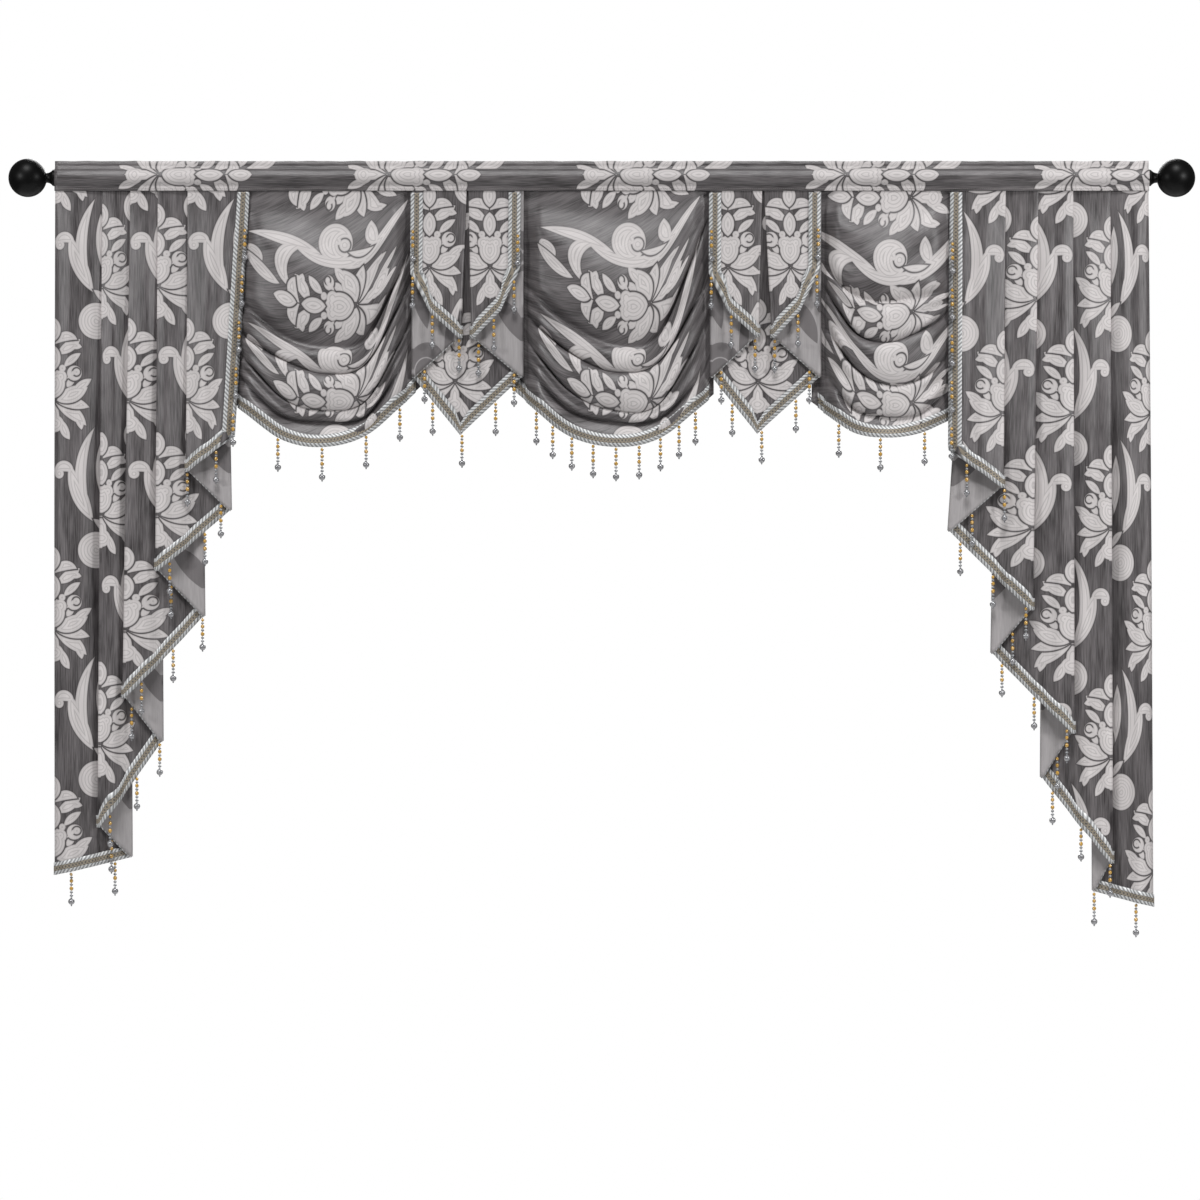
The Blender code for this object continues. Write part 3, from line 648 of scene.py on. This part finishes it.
def heading_section(layers):
    """The cloth's path round the rod, as (y, z), from the front hem over the top to the back."""
    back = FRONT_LAYER + SEAM_PITCH * (layers - 1) + CLOTH + GAP + SEAM_EASE
    radius = (ROD_RADIUS + GAP + CLOTH / 2) / math.cos(math.pi / BACK_STEPS / 2)
    lip = (CLOTH + GAP) / 2
    start = math.asin(lip / radius)
    back_end = math.pi - math.asin(max(back, 1.0) / radius)
    front_end = math.pi - math.asin(-HEADING_FRONT / radius)
    path = [(back, HEADING_BOTTOM), (back, POCKET_KNEE)]
    path += [(radius * math.sin(a), radius * math.cos(a)) for a in evenly(back_end, start, BACK_STEPS)]
    path += [(lip, LIP_FOOT), (lip, HEADING_TOP - CLOTH), (0.0, HEADING_TOP - CLOTH / 2)]
    path += [(-lip, HEADING_TOP - CLOTH), (-lip, LIP_FOOT)]
    path += [(-radius * math.sin(a), radius * math.cos(a)) for a in evenly(start, front_end, FRONT_STEPS)]
    y, z = path[-1]
    path += [(mix(y, HEADING_FRONT, ease(t)), mix(z, HEADING_BOTTOM, t))
             for t in evenly(0.0, 1.0, HEM_STEPS)[1:]]
    return path[::-1]


HEADER_FOOT, HEADER_WAVE = 20.0, 0.9
PUCKER, PUCKER_FALL = 0.7, 12.0


def band_ripple(x, y, z):
    """The front puckers a little over the rod, and the header is not quite straight."""
    if z > HEADER_FOOT:
        z += HEADER_WAVE * (noise.noise((x / 26, 0.0, 0.0)) - 1.0)
    elif y < 0:
        pucker = noise.noise((x / 24, z / 60, 3.0)) + 0.5 * noise.noise((x / 9, z / 40, 7.0))
        y -= PUCKER * max(pucker, -0.1) * ease((z - HEADING_BOTTOM) / PUCKER_FALL)
    return x, y, z


rows, flat_rows = [], []
for x in evenly(-HEADING_HALF_LENGTH, HEADING_HALF_LENGTH, round(2 * HEADING_HALF_LENGTH / BAND_STEP)):
    section = heading_section(along(*zip(*HEADING_LAYERS), x))
    walked = walk(section)
    rows.append([band_ripple(x, y, z) for y, z in section])
    run = x - BAND_FLOWER
    run -= BAND_DRAW * math.sin(math.tau * (run - BAND_DRAW_FROM) / REPEAT)
    flat_rows.append([(w - walked[FLOWER_POINT], run) for w in walked])
cloth_sheet("heading", rows, flat_rows)
print("band girth:", round(walked[-1], 1), "mm")

# %% [markdown]
# A row of small stitches close to the lower edge closes the pocket and holds the layers. Each
# stitch is a short thread, half sunk in the cloth.

# %% Stitches
STITCH_PITCH = 3.4
STITCH_LENGTH = 2.5
STITCH_RADIUS = 0.28
STITCH_HEIGHT = -18.6
STITCH_START = 4.0 - HEADING_HALF_LENGTH

bm = bmesh.new()
count = int(-2 * STITCH_START / STITCH_PITCH)
for number in range(count):
    middle = Vector((STITCH_START + number * STITCH_PITCH, HEADING_FRONT - CLOTH / 2, STITCH_HEIGHT)) * MM
    stitch = bmesh.ops.create_cone(bm, segments=5, radius1=STITCH_RADIUS * MM, radius2=STITCH_RADIUS * MM,
                                   depth=STITCH_LENGTH * MM, cap_ends=True)["verts"]
    for vert in stitch:
        vert.co = middle + vert.co.zxy
bmesh.ops.recalc_face_normals(bm, faces=bm.faces)
finish_piece("heading_stitches", bm, (thread,))
print("stitches:", count)

# %% [markdown]
# ## Tails and jabots
# Both are one cloth folded to and fro. A table gives the place of each edge and fold at the
# top and at the hem. The cloth turns in a round fold wherever the layer changes, and each strip
# between two folds swells forward a little.

# %% Folded cloth
FOLD_TURN = 8               # segments round a turned fold
TAIL_PITCH, TAIL_SPREAD = 9.0, 600.0
JABOT_PITCH, JABOT_SPREAD = 8.0, 250.0
OUTER_SETTLE = 40.0         # past a tail's last front fold, the way on which it still leans forward
SWELL = 10.0                # how far a tail's strip swells
SWELL_FALL = 110.0          # the drop over which it does so
RIPPLE = 3.6
RIPPLE_LENGTH = 44.0

cloths = {}                 # each trimmed cloth's rows of points, for its braid


def spread(pitch, reach, z):
    return mix(SEAM_PITCH, pitch, ease((SEAM_TOP - z) / reach))


def turned_fold(before, here, depth):
    """The round fold at a station where the layer changes."""
    x, z, layer, flat = here
    way = math.copysign(1.0, x - before[0])
    radius = abs(depth(layer, x, z) - depth(before[2], x, z)) / 2
    middle = x - way * radius
    near, far = depth(before[2], middle, z), depth(layer, middle, z)
    return [(middle + way * radius * math.sin(angle), mix(far, near, (1 + math.cos(angle)) / 2), z, flat)
            for angle in evenly(0.0, math.pi, FOLD_TURN)]


def folded_cloth(part, outline, depth, down, steps, flower):
    """Hangs a cloth that is folded to and fro. Each outline row is (top x, hem x, hem z, layer,
    place across the flat cloth). Flower is the height of a flower's foot."""
    rows, flat_rows = [], []
    for fall in evenly(0.0, 1.0, down):
        stations = [
            (mix(a, b, fall), mix(SEAM_TOP, low, fall), layer, flat) for a, b, low, layer, flat in outline
        ]
        corners = []
        for before, here in zip([stations[0], *stations], stations):
            x, z, layer, flat = here
            if before[2] == layer:
                corners.append([(x, depth(layer, x, z), z, flat)])
            else:
                corners.append(turned_fold(before, here, depth))
        row = list(corners[0])
        for corner, station, following in zip(corners, stations, corners[1:]):
            for t in evenly(0.0, 1.0, steps)[1:-1]:
                x, _, z, flat = (mix(a, b, t) for a, b in zip(corner[-1], following[0]))
                row.append((x, depth(station[2], x, z), z, flat))
            row += following
        rows.append([point[:3] for point in row])
        flat_rows.append([(flat, z - flower) for _, _, z, flat in row])
    cloths[part] = rows
    cloth_sheet(part, rows, flat_rows)


# %% [markdown]
# The tails hang in nine layers. The front folds are one pattern column apart on the flat
# cloth, so a flower sits on each of them, higher and lower in turn.

# %% Tails
TAILS = {
    "left": (
        # top x, hem x, hem z, counted outwards: edge, front fold, back fold, and so on
        (580, 605, -424), (680, 682, -482), (618, 608, -546), (729, 732, -644), (661, 653, -720),
        (774, 786, -853), (727, 722, -926), (820, 827, -1065), (778, 773, -1116), (898, 897, -1143),
    ),
    "right": (
        (574, 571, -447), (663, 659, -508), (606, 568, -580), (717, 707, -709), (654, 640, -781),
        (774, 775, -911), (728, 721, -985), (835, 838, -1124), (802, 806, -1171), (898, 904, -1195),
    ),
}
TAIL_FLOWER = {"left": -365.0, "right": -386.0}     # height of a flower's foot on the first fold
TAIL_ROWS, TAIL_STEPS = 96, 14


def tail_places(folds):
    """Where each edge and fold lies across the flat cloth, in the pattern's own measure."""
    widths = [abs((a[0] + a[1]) - (b[0] + b[1])) / 2 for a, b in zip(folds, folds[1:])]
    places = [widths[0], 0.0]
    for k in range(1, len(widths), 2):
        share = widths[k] / (widths[k] + widths[k + 1])
        places += [places[-1] - share * COLUMN, places[-1] - COLUMN]
    return places


ARCH_POWER = 0.85           # below 1, for a full swell
SWAY_LENGTH, SWAY_SWELL = 420.0, 0.35


def tail_depth(folds):
    """Depth of a tail's layer at (x, z), with the swell and the ripples of the strips in front."""

    def depth(layer, x, z):
        pitch = spread(TAIL_PITCH, TAIL_SPREAD, z)
        edges = [mix(top, hem, (z - SEAM_TOP) / (low - SEAM_TOP)) for top, hem, low in folds]
        xs = edges[1:-1:2]
        xs.append(xs[-1] + OUTER_SETTLE)
        lean = 2.0 * along(xs, range(len(xs)), abs(x))      # two layers for every front fold
        plain = FRONT_LAYER - 2.0 * (pitch - SEAM_PITCH) + pitch * (layer - lean)
        if layer % 2:
            return plain
        own, cover = edges[layer + 1], edges[max(layer - 1, 0)]
        arch = math.sin(math.pi * clamp((abs(x) - cover) / (own - cover))) ** ARCH_POWER
        drop = below_heading(z, SWELL_FALL)
        sway = noise.noise((z / SWAY_LENGTH, layer * 3.1, 0.5))
        ripple = RIPPLE * math.sin(math.tau * ((abs(x) - cover) / RIPPLE_LENGTH + 0.5 * sway))
        return plain - drop * arch * (SWELL * (1.0 + SWAY_SWELL * sway) + ripple)

    return depth


for side, sign in (("left", -1), ("right", 1)):
    folds = TAILS[side]
    layers = [*range(len(folds) - 1), len(folds) - 2]
    outline = [
        (sign * top, sign * hem, low, layer, place)
        for (top, hem, low), layer, place in zip(folds, layers, tail_places(folds))
    ]
    folded_cloth("tail_" + side, outline, tail_depth(folds), TAIL_ROWS, TAIL_STEPS, TAIL_FLOWER[side])

# %% [markdown]
# A jabot is box-pleated to its middle: two flaps in front, the reverse turned outwards behind
# them, and a pointed back.

# %% Jabots
JABOTS = {
    "left": (
        # top x, hem x, hem z, layer (0 in front)
        (-312, -312, -158, 0), (-282, -282, -220, 0), (-222.5, -231, -262, 1), (-312, -312, -328, 2),
        (-222, -233, -421, 2), (-129, -129, -327, 1), (-218.5, -214, -263, 0), (-164, -166, -218, 0),
        (-135, -137, -150, 0),
    ),
    "right": (
        (178, 178, -158, 0), (208, 208, -220, 0), (263, 257, -260, 1), (178, 178, -327, 2),
        (266, 255, -419, 2), (360, 360, -327, 1), (267, 279, -262, 0), (327, 325, -218, 0),
        (358, 356, -150, 0),
    ),
}
JABOT_EDGE = 29.0           # from the free edge to the first flower's middle line
JABOT_FLOWER = -145.0
JABOT_ROWS, JABOT_STEPS = 44, 8
JABOT_SWELL, JABOT_UNEVEN = 2.4, 0.4


def jabot_depth(outline):
    middle = outline[4][0]
    half = (outline[-1][0] - outline[0][0]) / 2

    def depth(layer, x, z):
        plain = FRONT_LAYER + 2.0 * SEAM_PITCH - (2 - layer) * spread(JABOT_PITCH, JABOT_SPREAD, z)
        if layer == 1:
            return plain
        share = min(abs(x - middle) / half, 1.0)
        swell = math.sin(math.pi * share) + JABOT_UNEVEN * noise.noise((x / 40, z / 90, layer))
        return plain - JABOT_SWELL * below_heading(z, SWELL_FALL) * swell

    return depth


for side, points in JABOTS.items():
    places = [-JABOT_EDGE]
    for a, b in zip(points, points[1:]):
        places.append(places[-1] + abs(b[0] - a[0]))
    outline = [(*point, place) for point, place in zip(points, places)]
    folded_cloth("jabot_" + side, outline, jabot_depth(points), JABOT_ROWS, JABOT_STEPS, JABOT_FLOWER)

# %% [markdown]
# ## Swags
# A swag hangs in rolls between its two pleated sides. Each roll swells out and hangs over the
# crease under it, and all of them fade towards the sides.

# %% Swags
SWAGS = {
    # reach: x of the hidden ends; sides: x at the top and hem, then y at both, where each side
    # slips behind; flower: its x and two heights; folds: height of each crease at the stations,
    # and the depth of the roll above it
    "left": {
        "reach": (-605, -291), "sides": ((-577, -601, -5.4, -5.4), (-320, -320, -1.8, 1.5)),
        "stations": (-587, -520, -452, -383, -322), "flower": (-403, -200, -368),
        "folds": (
            ((-212, -266, -284, -266, -138), 10), ((-260, -301, -324, -304, -187), 13),
            ((-296, -365, -383, -365, -253), 15), ((-335, -391, -401, -388, -294), 8),
            ((-383, -431, -442, -421, -365), 9),
        ),
    },
    "centre": {
        "reach": (-154, 184), "sides": ((-122, -122, -1.8, 1.5), (170, 170, -1.8, 1.5)),
        "stations": (-130, -56, 20, 95, 166), "flower": (77, -201, -367),
        "folds": (
            ((-176, -242, -281, -261, -89), 10), ((-220, -286, -321, -302, -184), 13),
            ((-258, -349, -383, -372, -253), 15), ((-300, -378, -401, -393, -322), 8),
            ((-360, -422, -442, -427, -370), 9),
        ),
    },
    "right": {
        "reach": (345, 575), "sides": ((367, 367, -1.8, 1.5), (566, 566, -5.4, -5.4)),
        "stations": (365, 413, 465, 516, 564), "flower": (505, -225, -370),
        "folds": (
            ((-148, -196, -210, -201, -189), 8), ((-179, -255, -273, -255, -224), 13),
            ((-240, -312, -341, -334, -300), 15), ((-320, -378, -393, -388, -352), 10),
            ((-383, -418, -427, -420, -399), 8),
        ),
    },
}
SWAG_BELLY, BELLY_FALL = 30.0, 180.0
TUCK_SETTLE, TUCK_WIDTH = 65.0, 22.0
FULLNESS_POWER = 0.7
ROLL_DEPTH = 1.45
ROLL_POWER = 0.7            # below 1, for full rolls and narrow creases
OVERHANG, SOFT_OVERHANG = 1.2, 0.25
ROLL_REACH = 0.5            # below 1, so that the rolls stay full towards the sides
SIDE_PLEAT = 9.0            # the finer pleats between, which die out in the middle
WRINKLE, WRINKLE_FALL = 1.2, 60.0
TOP_SAG = 1.7
UPPER_SHARE = 0.8           # of a column, where the upper part of a swag is drawn out
SWAG_COLUMNS = 56
ROLL_ROWS, TOP_ROWS = 14, 18
SEAM_ROWS = 3               # of the top rows, which two flat ones under the heading stand in for


def swag_sides(swag, z):
    """The two sides at a height, as (x, y)."""
    fall = min((SEAM_TOP - z) / (SEAM_TOP - swag["folds"][-1][0][2]), 1.0)
    settle = ease((SEAM_TOP - z) / TUCK_SETTLE)
    return [(mix(top, low, fall), mix(top_y, low_y, settle)) for top, low, top_y, low_y in swag["sides"]]


def swag_fullness(swag, x, z):
    (left, _), (right, _) = swag_sides(swag, z)
    return math.sin(math.pi * clamp((x - left) / (right - left))) ** FULLNESS_POWER


def swag_depth(swag, x, z):
    (left, left_y), (right, right_y) = swag_sides(swag, z)
    side = left_y if x < (left + right) / 2 else right_y
    base = mix(side, FRONT_LAYER, ease(min(x - left, right - x) / TUCK_WIDTH))
    return base - SWAG_BELLY * below_heading(z, BELLY_FALL) * swag_fullness(swag, x, z)


def swag_point(swag, x, line, part):
    folds = swag["folds"]
    heights, depth = folds[line]
    low = curve_through(swag["stations"], heights, x)
    high = SEAM_TOP if line == 0 else curve_through(swag["stations"], folds[line - 1][0], x)
    level = mix(high, low, part)
    fullness = swag_fullness(swag, x, level)
    last = line == len(folds) - 1
    phase = math.pi * part if last else math.tau * (part**TOP_SAG if line == 0 else part)
    tilt = SOFT_OVERHANG if line == 0 or last else OVERHANG * fullness
    z = level + (high - low) * tilt / math.tau * math.sin(phase)
    roll = ROLL_DEPTH * depth * fullness**ROLL_REACH * ((1.0 - math.cos(phase)) / 2.0) ** ROLL_POWER
    pleats = SIDE_PLEAT * 2.0 * fullness * (1.0 - fullness) * (1.0 - math.cos(2.0 * phase))
    wrinkle = WRINKLE * fullness * noise.noise((x / 55.0, z / 20.0, line))
    return x, swag_depth(swag, x, z) - roll - (pleats + wrinkle) * below_heading(z, WRINKLE_FALL), z


def swag_rows(swag):
    left, right = swag["reach"]
    start, end = swag["stations"][0], swag["stations"][-1]
    inner = [mix(start, end, (1.0 - math.cos(turn)) / 2) for turn in evenly(0.0, math.pi, SWAG_COLUMNS)]
    xs = [left, mix(left, start, 0.5), *inner, mix(end, right, 0.5), right]
    last = len(swag["folds"]) - 1
    parts = [(0, k / TOP_ROWS) for k in range(SEAM_ROWS, TOP_ROWS)]
    parts += [(line, k / ROLL_ROWS) for line in range(1, last) for k in range(ROLL_ROWS)]
    parts += [(last, k / ROLL_ROWS) for k in range(ROLL_ROWS + 1)]
    seam = [[(x, swag_depth(swag, x, z), z) for x in xs] for z in (SEAM_TOP, HEADING_BOTTOM - CLOTH)]
    return seam + [[swag_point(swag, x, line, part) for x in xs] for line, part in parts]


# %% [markdown]
# The pattern's place down a swag is walked along its middle, and drawn up a little in the rolls
# so that the lower flower shows on the front of one.

# %% The three swags
for side, swag in SWAGS.items():
    rows = cloths["swag_" + side] = swag_rows(swag)
    middle = [row[len(row) // 2] for row in rows]
    walked = walk(middle)
    flower_x, *heights = swag["flower"]
    first, second = (next(w for w, p in zip(walked, middle) if p[2] <= z) for z in heights)
    squeeze = COLUMN / (second - first)
    flat_rows = []
    for w, row in zip(walked, rows):
        across = (first - w) * (squeeze if w > first else UPPER_SHARE)
        flat_rows.append([(across, flower_x - x) for x, _, _ in row])
    cloth_sheet("swag_" + side, rows, flat_rows)
    across, down = (round(max(walk(line)[-1] for line in lines)) for lines in (rows, [*zip(*rows)]))
    print("cut:", across, "x", down, "mm")

# %% [markdown]
# ## Braid
# The braid is a flat strip sewn along the free edges. It follows the cloth's face: for each
# place along the edge there is a point on the edge and one a braid's width further in. The
# strip's section has a round cord at each side and a zigzag in low relief between them.

# %% The braid's path over the cloth
BRAID = 1.8
BRAID_GAP = 0.6
BRAID_TOP = -22.8
STEEPEST = 2.4
NEARBY = 0.2


def grid_point(rows, row, column):
    top = min(max(int(row), 0), len(rows) - 2)
    left = min(int(column), len(rows[0]) - 2)
    upper = Vector(rows[top][left]).lerp(Vector(rows[top][left + 1]), column - left)
    lower = Vector(rows[top + 1][left]).lerp(Vector(rows[top + 1][left + 1]), column - left)
    return upper.lerp(lower, row - top)


def on_face(rows, row, column, side):
    """The braid's middle over the cloth at (row, column). In a fold it moves out along the mitre."""
    here = grid_point(rows, row, column)
    before = grid_point(rows, row, max(math.ceil(column) - 1, 0))
    after = grid_point(rows, row, min(math.floor(column) + 1, len(rows[0]) - 1))
    ways = [way.normalized() for way in (here - before, after - here) if way.length > 1e-6]
    normals = [Vector((way.y, -way.x, 0)).normalized() * side for way in ways]
    mitre = (normals[0] + normals[-1]) / (1.0 + normals[0].dot(normals[-1]))
    hang = grid_point(rows, max(row - NEARBY, 0), column) - grid_point(rows, row + NEARBY, column)
    hang.normalize()
    upright = (mitre - hang * mitre.dot(hang)).normalized() * mitre.length
    return here + upright * (CLOTH / 2 + BRAID_GAP + BRAID / 2)


def up_column(rows, column, distance):
    """The place between rows that lies this far up the cloth from the hem."""
    row = len(rows) - 1
    here = grid_point(rows, row, column)
    while row > 0:
        above = grid_point(rows, row - 1, column)
        length = (above - here).length
        if length >= distance:
            return row - distance / length
        distance -= length
        row -= 1
        here = above
    return 0.0


def hem_stations(rows, side, columns):
    bottom, last = len(rows) - 1, len(rows[0]) - 1
    stations = []
    for column in columns:
        run = grid_point(rows, bottom, min(column + 1, last)) - grid_point(rows, bottom, max(column - 1, 0))
        slope = run.length / max(math.hypot(run.x, run.y), 1.0)
        inner = up_column(rows, column, BRAID_WIDTH * min(slope, STEEPEST))
        stations.append([on_face(rows, row, column, side) for row in (bottom, inner)])
    return stations


def column_at(rows, row, column, inward):
    """The place between columns that lies a braid's width in from the edge."""
    edge = grid_point(rows, row, column)
    step, near, far = -1, 0.0, 0.0
    while far < BRAID_WIDTH:
        step += 1
        near, far = far, abs(grid_point(rows, row, column + inward * (step + 1)).x - edge.x)
    return column + inward * (step + (BRAID_WIDTH - near) / (far - near))


def edge_stations(rows, side, column, inward):
    stations = []
    for row in range(len(rows) - 1):
        inner = column_at(rows, row, column, inward)
        top, bottom = (grid_point(rows, r, inner).z for r in (0, len(rows) - 1))
        level = (len(rows) - 1) * (top - grid_point(rows, row, column).z) / (top - bottom)
        pair = [on_face(rows, row, column, side), on_face(rows, level, inner, side)]
        if pair[0].z < BRAID_TOP:
            stations.append(pair)
    return stations


def corner_station(rows, side, column, inward):
    bottom = len(rows) - 1
    inner = column_at(rows, bottom, column, inward)
    edge, beside = (grid_point(rows, bottom, place) for place in (column, inner))
    slope = (beside - edge).length / abs(beside.x - edge.x)
    level = up_column(rows, inner, BRAID_WIDTH * slope)
    return [on_face(rows, bottom, column, side), on_face(rows, level, inner, side)]


def between_corners(rows, right_edge):
    """The hem's columns between the corners. A tail has no free edge on its right."""
    bottom, last = len(rows) - 1, len(rows[0]) - 1
    first = math.ceil(column_at(rows, bottom, 0, 1) + NEARBY)
    if right_edge:
        last = math.floor(column_at(rows, bottom, last, -1) - NEARBY)
    return range(first, last + 1)


# %% The strip itself
BRAID_STEP = 1.7
HANG = 2.0                  # how far the outer cord hangs over the cloth's edge
CORD_HEIGHT, CORD_FOOT = 1.15, 0.5
TWIST_DEPTH = 0.2
ZIGZAG_HEIGHT, ZIGZAG_FOOT = 0.45, 0.4
ZIGZAG_THICKNESS = 0.2      # of the braid's half width
BRAID_COLUMNS = 16
BRAID_BACK_COLUMNS = 4


def section_height(share, run):
    """How far the braid's front stands out, at a share of its width and a length along it."""
    side = 2.0 * share - 1.0
    if abs(side) > ZIGZAG_REACH:
        place = (abs(side) - (1.0 - CORD_SHARE)) / CORD_SHARE
        twist = TWIST_DEPTH * math.sin(math.tau * run / TWIST + TWIST_LEAN * side)
        return BRAID / 2 - CORD_FOOT + (CORD_HEIGHT + twist) * math.sqrt(max(1.0 - place * place, 0.0))
    wave = (abs((run / ZIGZAG * 2) % 2 - 1) * 2 - 1) * ZIGZAG_REACH
    near = min(abs(side - wave), abs(side + wave))
    return BRAID / 2 - ZIGZAG_FOOT + ZIGZAG_HEIGHT * max(1.0 - near / ZIGZAG_THICKNESS, 0.0)


def even_steps(stations):
    """The stations again, at even steps along their middle line, and that line's length."""
    walked = walk([(a + b) / 2 for a, b in stations])
    count = round(walked[-1] / BRAID_STEP)
    samples, k = [], 0
    for run in evenly(0.0, walked[-1], count):
        while k < len(walked) - 2 and walked[k + 1] < run:
            k += 1
        share = (run - walked[k]) / max(walked[k + 1] - walked[k], 1e-9)
        samples.append([p.lerp(q, share) for p, q in zip(stations[k], stations[k + 1])])
    return samples, walked[-1]


def braid_strip(part, stations, side):
    """Sweeps the section along the path, and gives the braid's outer edge. Side is 1 where the
    stations run from left to right, -1 where they run from right to left."""
    samples, length = even_steps(stations)
    last = len(samples) - 1
    front, back = evenly(0.0, 1.0, BRAID_COLUMNS), evenly(1.0, 0.0, BRAID_BACK_COLUMNS)
    rows, flat_rows = [], []
    for number, (edge, inner) in enumerate(samples):
        before, after = samples[max(number - 2, 0)], samples[min(number + 2, last)]
        run = number * length / last
        width = inner - edge
        edge = edge - width.normalized() * HANG
        way = (after[0] + after[1]) - (before[0] + before[1])
        out = width.cross(way).normalized() * side
        lean = width.dot(way.normalized())
        row = [edge + width * share + out * section_height(share, run + lean * share) for share in front]
        row += [edge + width * share - out * BRAID / 2 for share in back]
        flat = [(run + lean * share, share * BRAID_WIDTH) for share in front + back]
        rows.append([*row, row[0]])
        flat_rows.append([*flat, flat[0]])
    bm = moved_grid(rows, flat_rows)
    bmesh.ops.remove_doubles(bm, verts=bm.verts, dist=2e-6)
    bmesh.ops.holes_fill(bm, edges=[edge for edge in bm.edges if edge.is_boundary], sides=0)
    bmesh.ops.recalc_face_normals(bm, faces=bm.faces)
    finish_piece(part + "_trim", bm, (braid,), (part + "_braid",))
    print("braid:", round(length), "mm long")
    return [edge for edge, _ in samples]


# %% A strip for each hem
braid_edges = {}
for part, rows in cloths.items():
    side = -1 if part == "tail_left" else 1
    is_jabot = part.startswith("jabot")
    last = len(rows[0]) - 1
    if part.startswith("swag"):
        stations = hem_stations(rows, side, range(1, last))
    else:
        stations = edge_stations(rows, side, 0, 1) + [corner_station(rows, side, 0, 1)]
        stations += hem_stations(rows, side, between_corners(rows, is_jabot))
    if is_jabot:
        stations.append(corner_station(rows, side, last, -1))
        stations += reversed(edge_stations(rows, side, last, -1))
    braid_edges[part] = braid_strip(part, stations, side)

# %% [markdown]
# ## Bead drops
# Each drop is a thread with small beads of amber glass and pewter in turn, and a grey pearl at
# its end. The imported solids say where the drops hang: every drop there ends in a point with
# four corners eight millimetres above it.

# %% One drop
DROP_LENGTH = 62.0
NECK_DROP = 13.0
AMBER, PEWTER, PEARL = 1, 2, 3      # places in the list of finishes, after the thread
BEADS = (
    # distance down the thread, radius, length against width, finish, segments, rings
    (8.8, 2.6, 1.1, AMBER, 8, 6), (14.2, 2.5, 0.8, PEWTER, 8, 6), (19.6, 3.0, 1.15, AMBER, 8, 6),
    (25.8, 2.7, 0.8, PEWTER, 8, 6), (32.0, 3.2, 1.15, AMBER, 8, 6), (38.2, 2.6, 0.85, PEWTER, 8, 6),
    (43.8, 2.9, 0.7, PEWTER, 8, 6), (47.7, 1.9, 0.6, PEWTER, 10, 6), (53.4, 5.3, 1.0, PEARL, 18, 12),
    (59.6, 1.3, 1.3, PEWTER, 8, 6),
)
THREAD_LENGTH, THREAD_RADIUS = 56.7, 0.45
RING_ABOVE, RING_RADIUS = (7.6, 8.4), (4.9, 5.7)        # where the solids' corners are sought


def drop_template():
    bm = bmesh.new()
    line = bmesh.ops.create_cone(bm, segments=6, radius1=THREAD_RADIUS * MM, radius2=THREAD_RADIUS * MM,
                                 depth=THREAD_LENGTH * MM)["verts"]
    bmesh.ops.translate(bm, verts=line, vec=(0, 0, -THREAD_LENGTH / 2 * MM))
    bmesh.ops.bisect_plane(bm, geom=bm.verts[:] + bm.edges[:] + bm.faces[:], plane_co=(0, 0, -NECK_DROP * MM),
                           plane_no=(0, 0, 1))
    for drop, radius, stretch, index, segments, rings in BEADS:
        ball = bmesh.ops.create_uvsphere(
            bm, u_segments=segments, v_segments=rings, radius=radius * MM)["verts"]
        bmesh.ops.scale(bm, verts=ball, vec=(1, 1, stretch))
        bmesh.ops.translate(bm, verts=ball, vec=(0, 0, -drop * MM))
        for face in {face for vert in ball for face in vert.link_faces}:
            face.material_index = index
    return mesh_of("drop", bm)


def drop_tips(node_name):
    """The points of a packed braid's drops: each has its widest ring just above it."""
    points = [vert.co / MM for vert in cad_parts[node_name].data.vertices]
    tips = []
    for tip in points:
        ring = {tuple(round(c, 1) for c in p) for p in points
                if RING_ABOVE[0] < p.z - tip.z < RING_ABOVE[1]
                and RING_RADIUS[0] < math.hypot(p.x - tip.x, p.y - tip.y) < RING_RADIUS[1]}
        if len(ring) >= 4 and all((tip - other).length > 1.0 for other in tips):
            tips.append(tip)
    return tips


template = drop_template()
for part, edge in braid_edges.items():
    bm = bmesh.new()
    tips = drop_tips(part + "_braid")
    for tip in tips:
        start = len(bm.verts)
        bm.from_mesh(template)
        bm.verts.ensure_lookup_table()
        root = min(edge, key=lambda p: math.hypot(p.x - tip.x, p.z - tip.z - DROP_LENGTH))
        swing = root.y - tip.y
        for vert in bm.verts[start:]:
            reach = min(-vert.co.z / (NECK_DROP * MM), 1.0)
            vert.co += Vector((tip.x, root.y - swing * reach, tip.z + DROP_LENGTH)) * MM
    finish_piece(part + "_beads", bm, (thread, amber, pewter, pearl))
    print(len(tips), "drops")

# %% [markdown]
# ## What each cloth was cut from
# Every cloth is listed with the size of its flat cut, and its size is printed. Widths are measured across the
# flat cloth, lengths down it.

# %% Flat sizes
CUTS = {
    # part: width, length, flat area in square metres, held, rests on
    "heading": (1.798, 0.129, 0.232, "stretched", ("rod",)),
    "tail_left": (0.81, 1.13, 0.687, "hung", ("heading_cloth",)),
    "tail_right": (0.81, 1.18, 0.693, "hung", ("heading_cloth",)),
    "jabot_left": (0.541, 0.405, 0.150, "hung", ("heading_cloth",)),
    "jabot_right": (0.541, 0.405, 0.149, "hung", ("heading_cloth",)),
    "swag_left": (0.50, 0.51, 0.165, "draped", ("heading_cloth",)),
    "swag_centre": (0.55, 0.50, 0.177, "draped", ("heading_cloth",)),
    "swag_right": (0.36, 0.49, 0.121, "draped", ("heading_cloth",)),
}
for part, (width, length, area, held, rests_on) in CUTS.items():
    ends = ("_stitches",) if part == "heading" else ("_trim", "_beads")
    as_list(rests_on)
    print(part, "cut from", width, "x", length, "m")

# %% The end
bpy.context.view_layer.update()
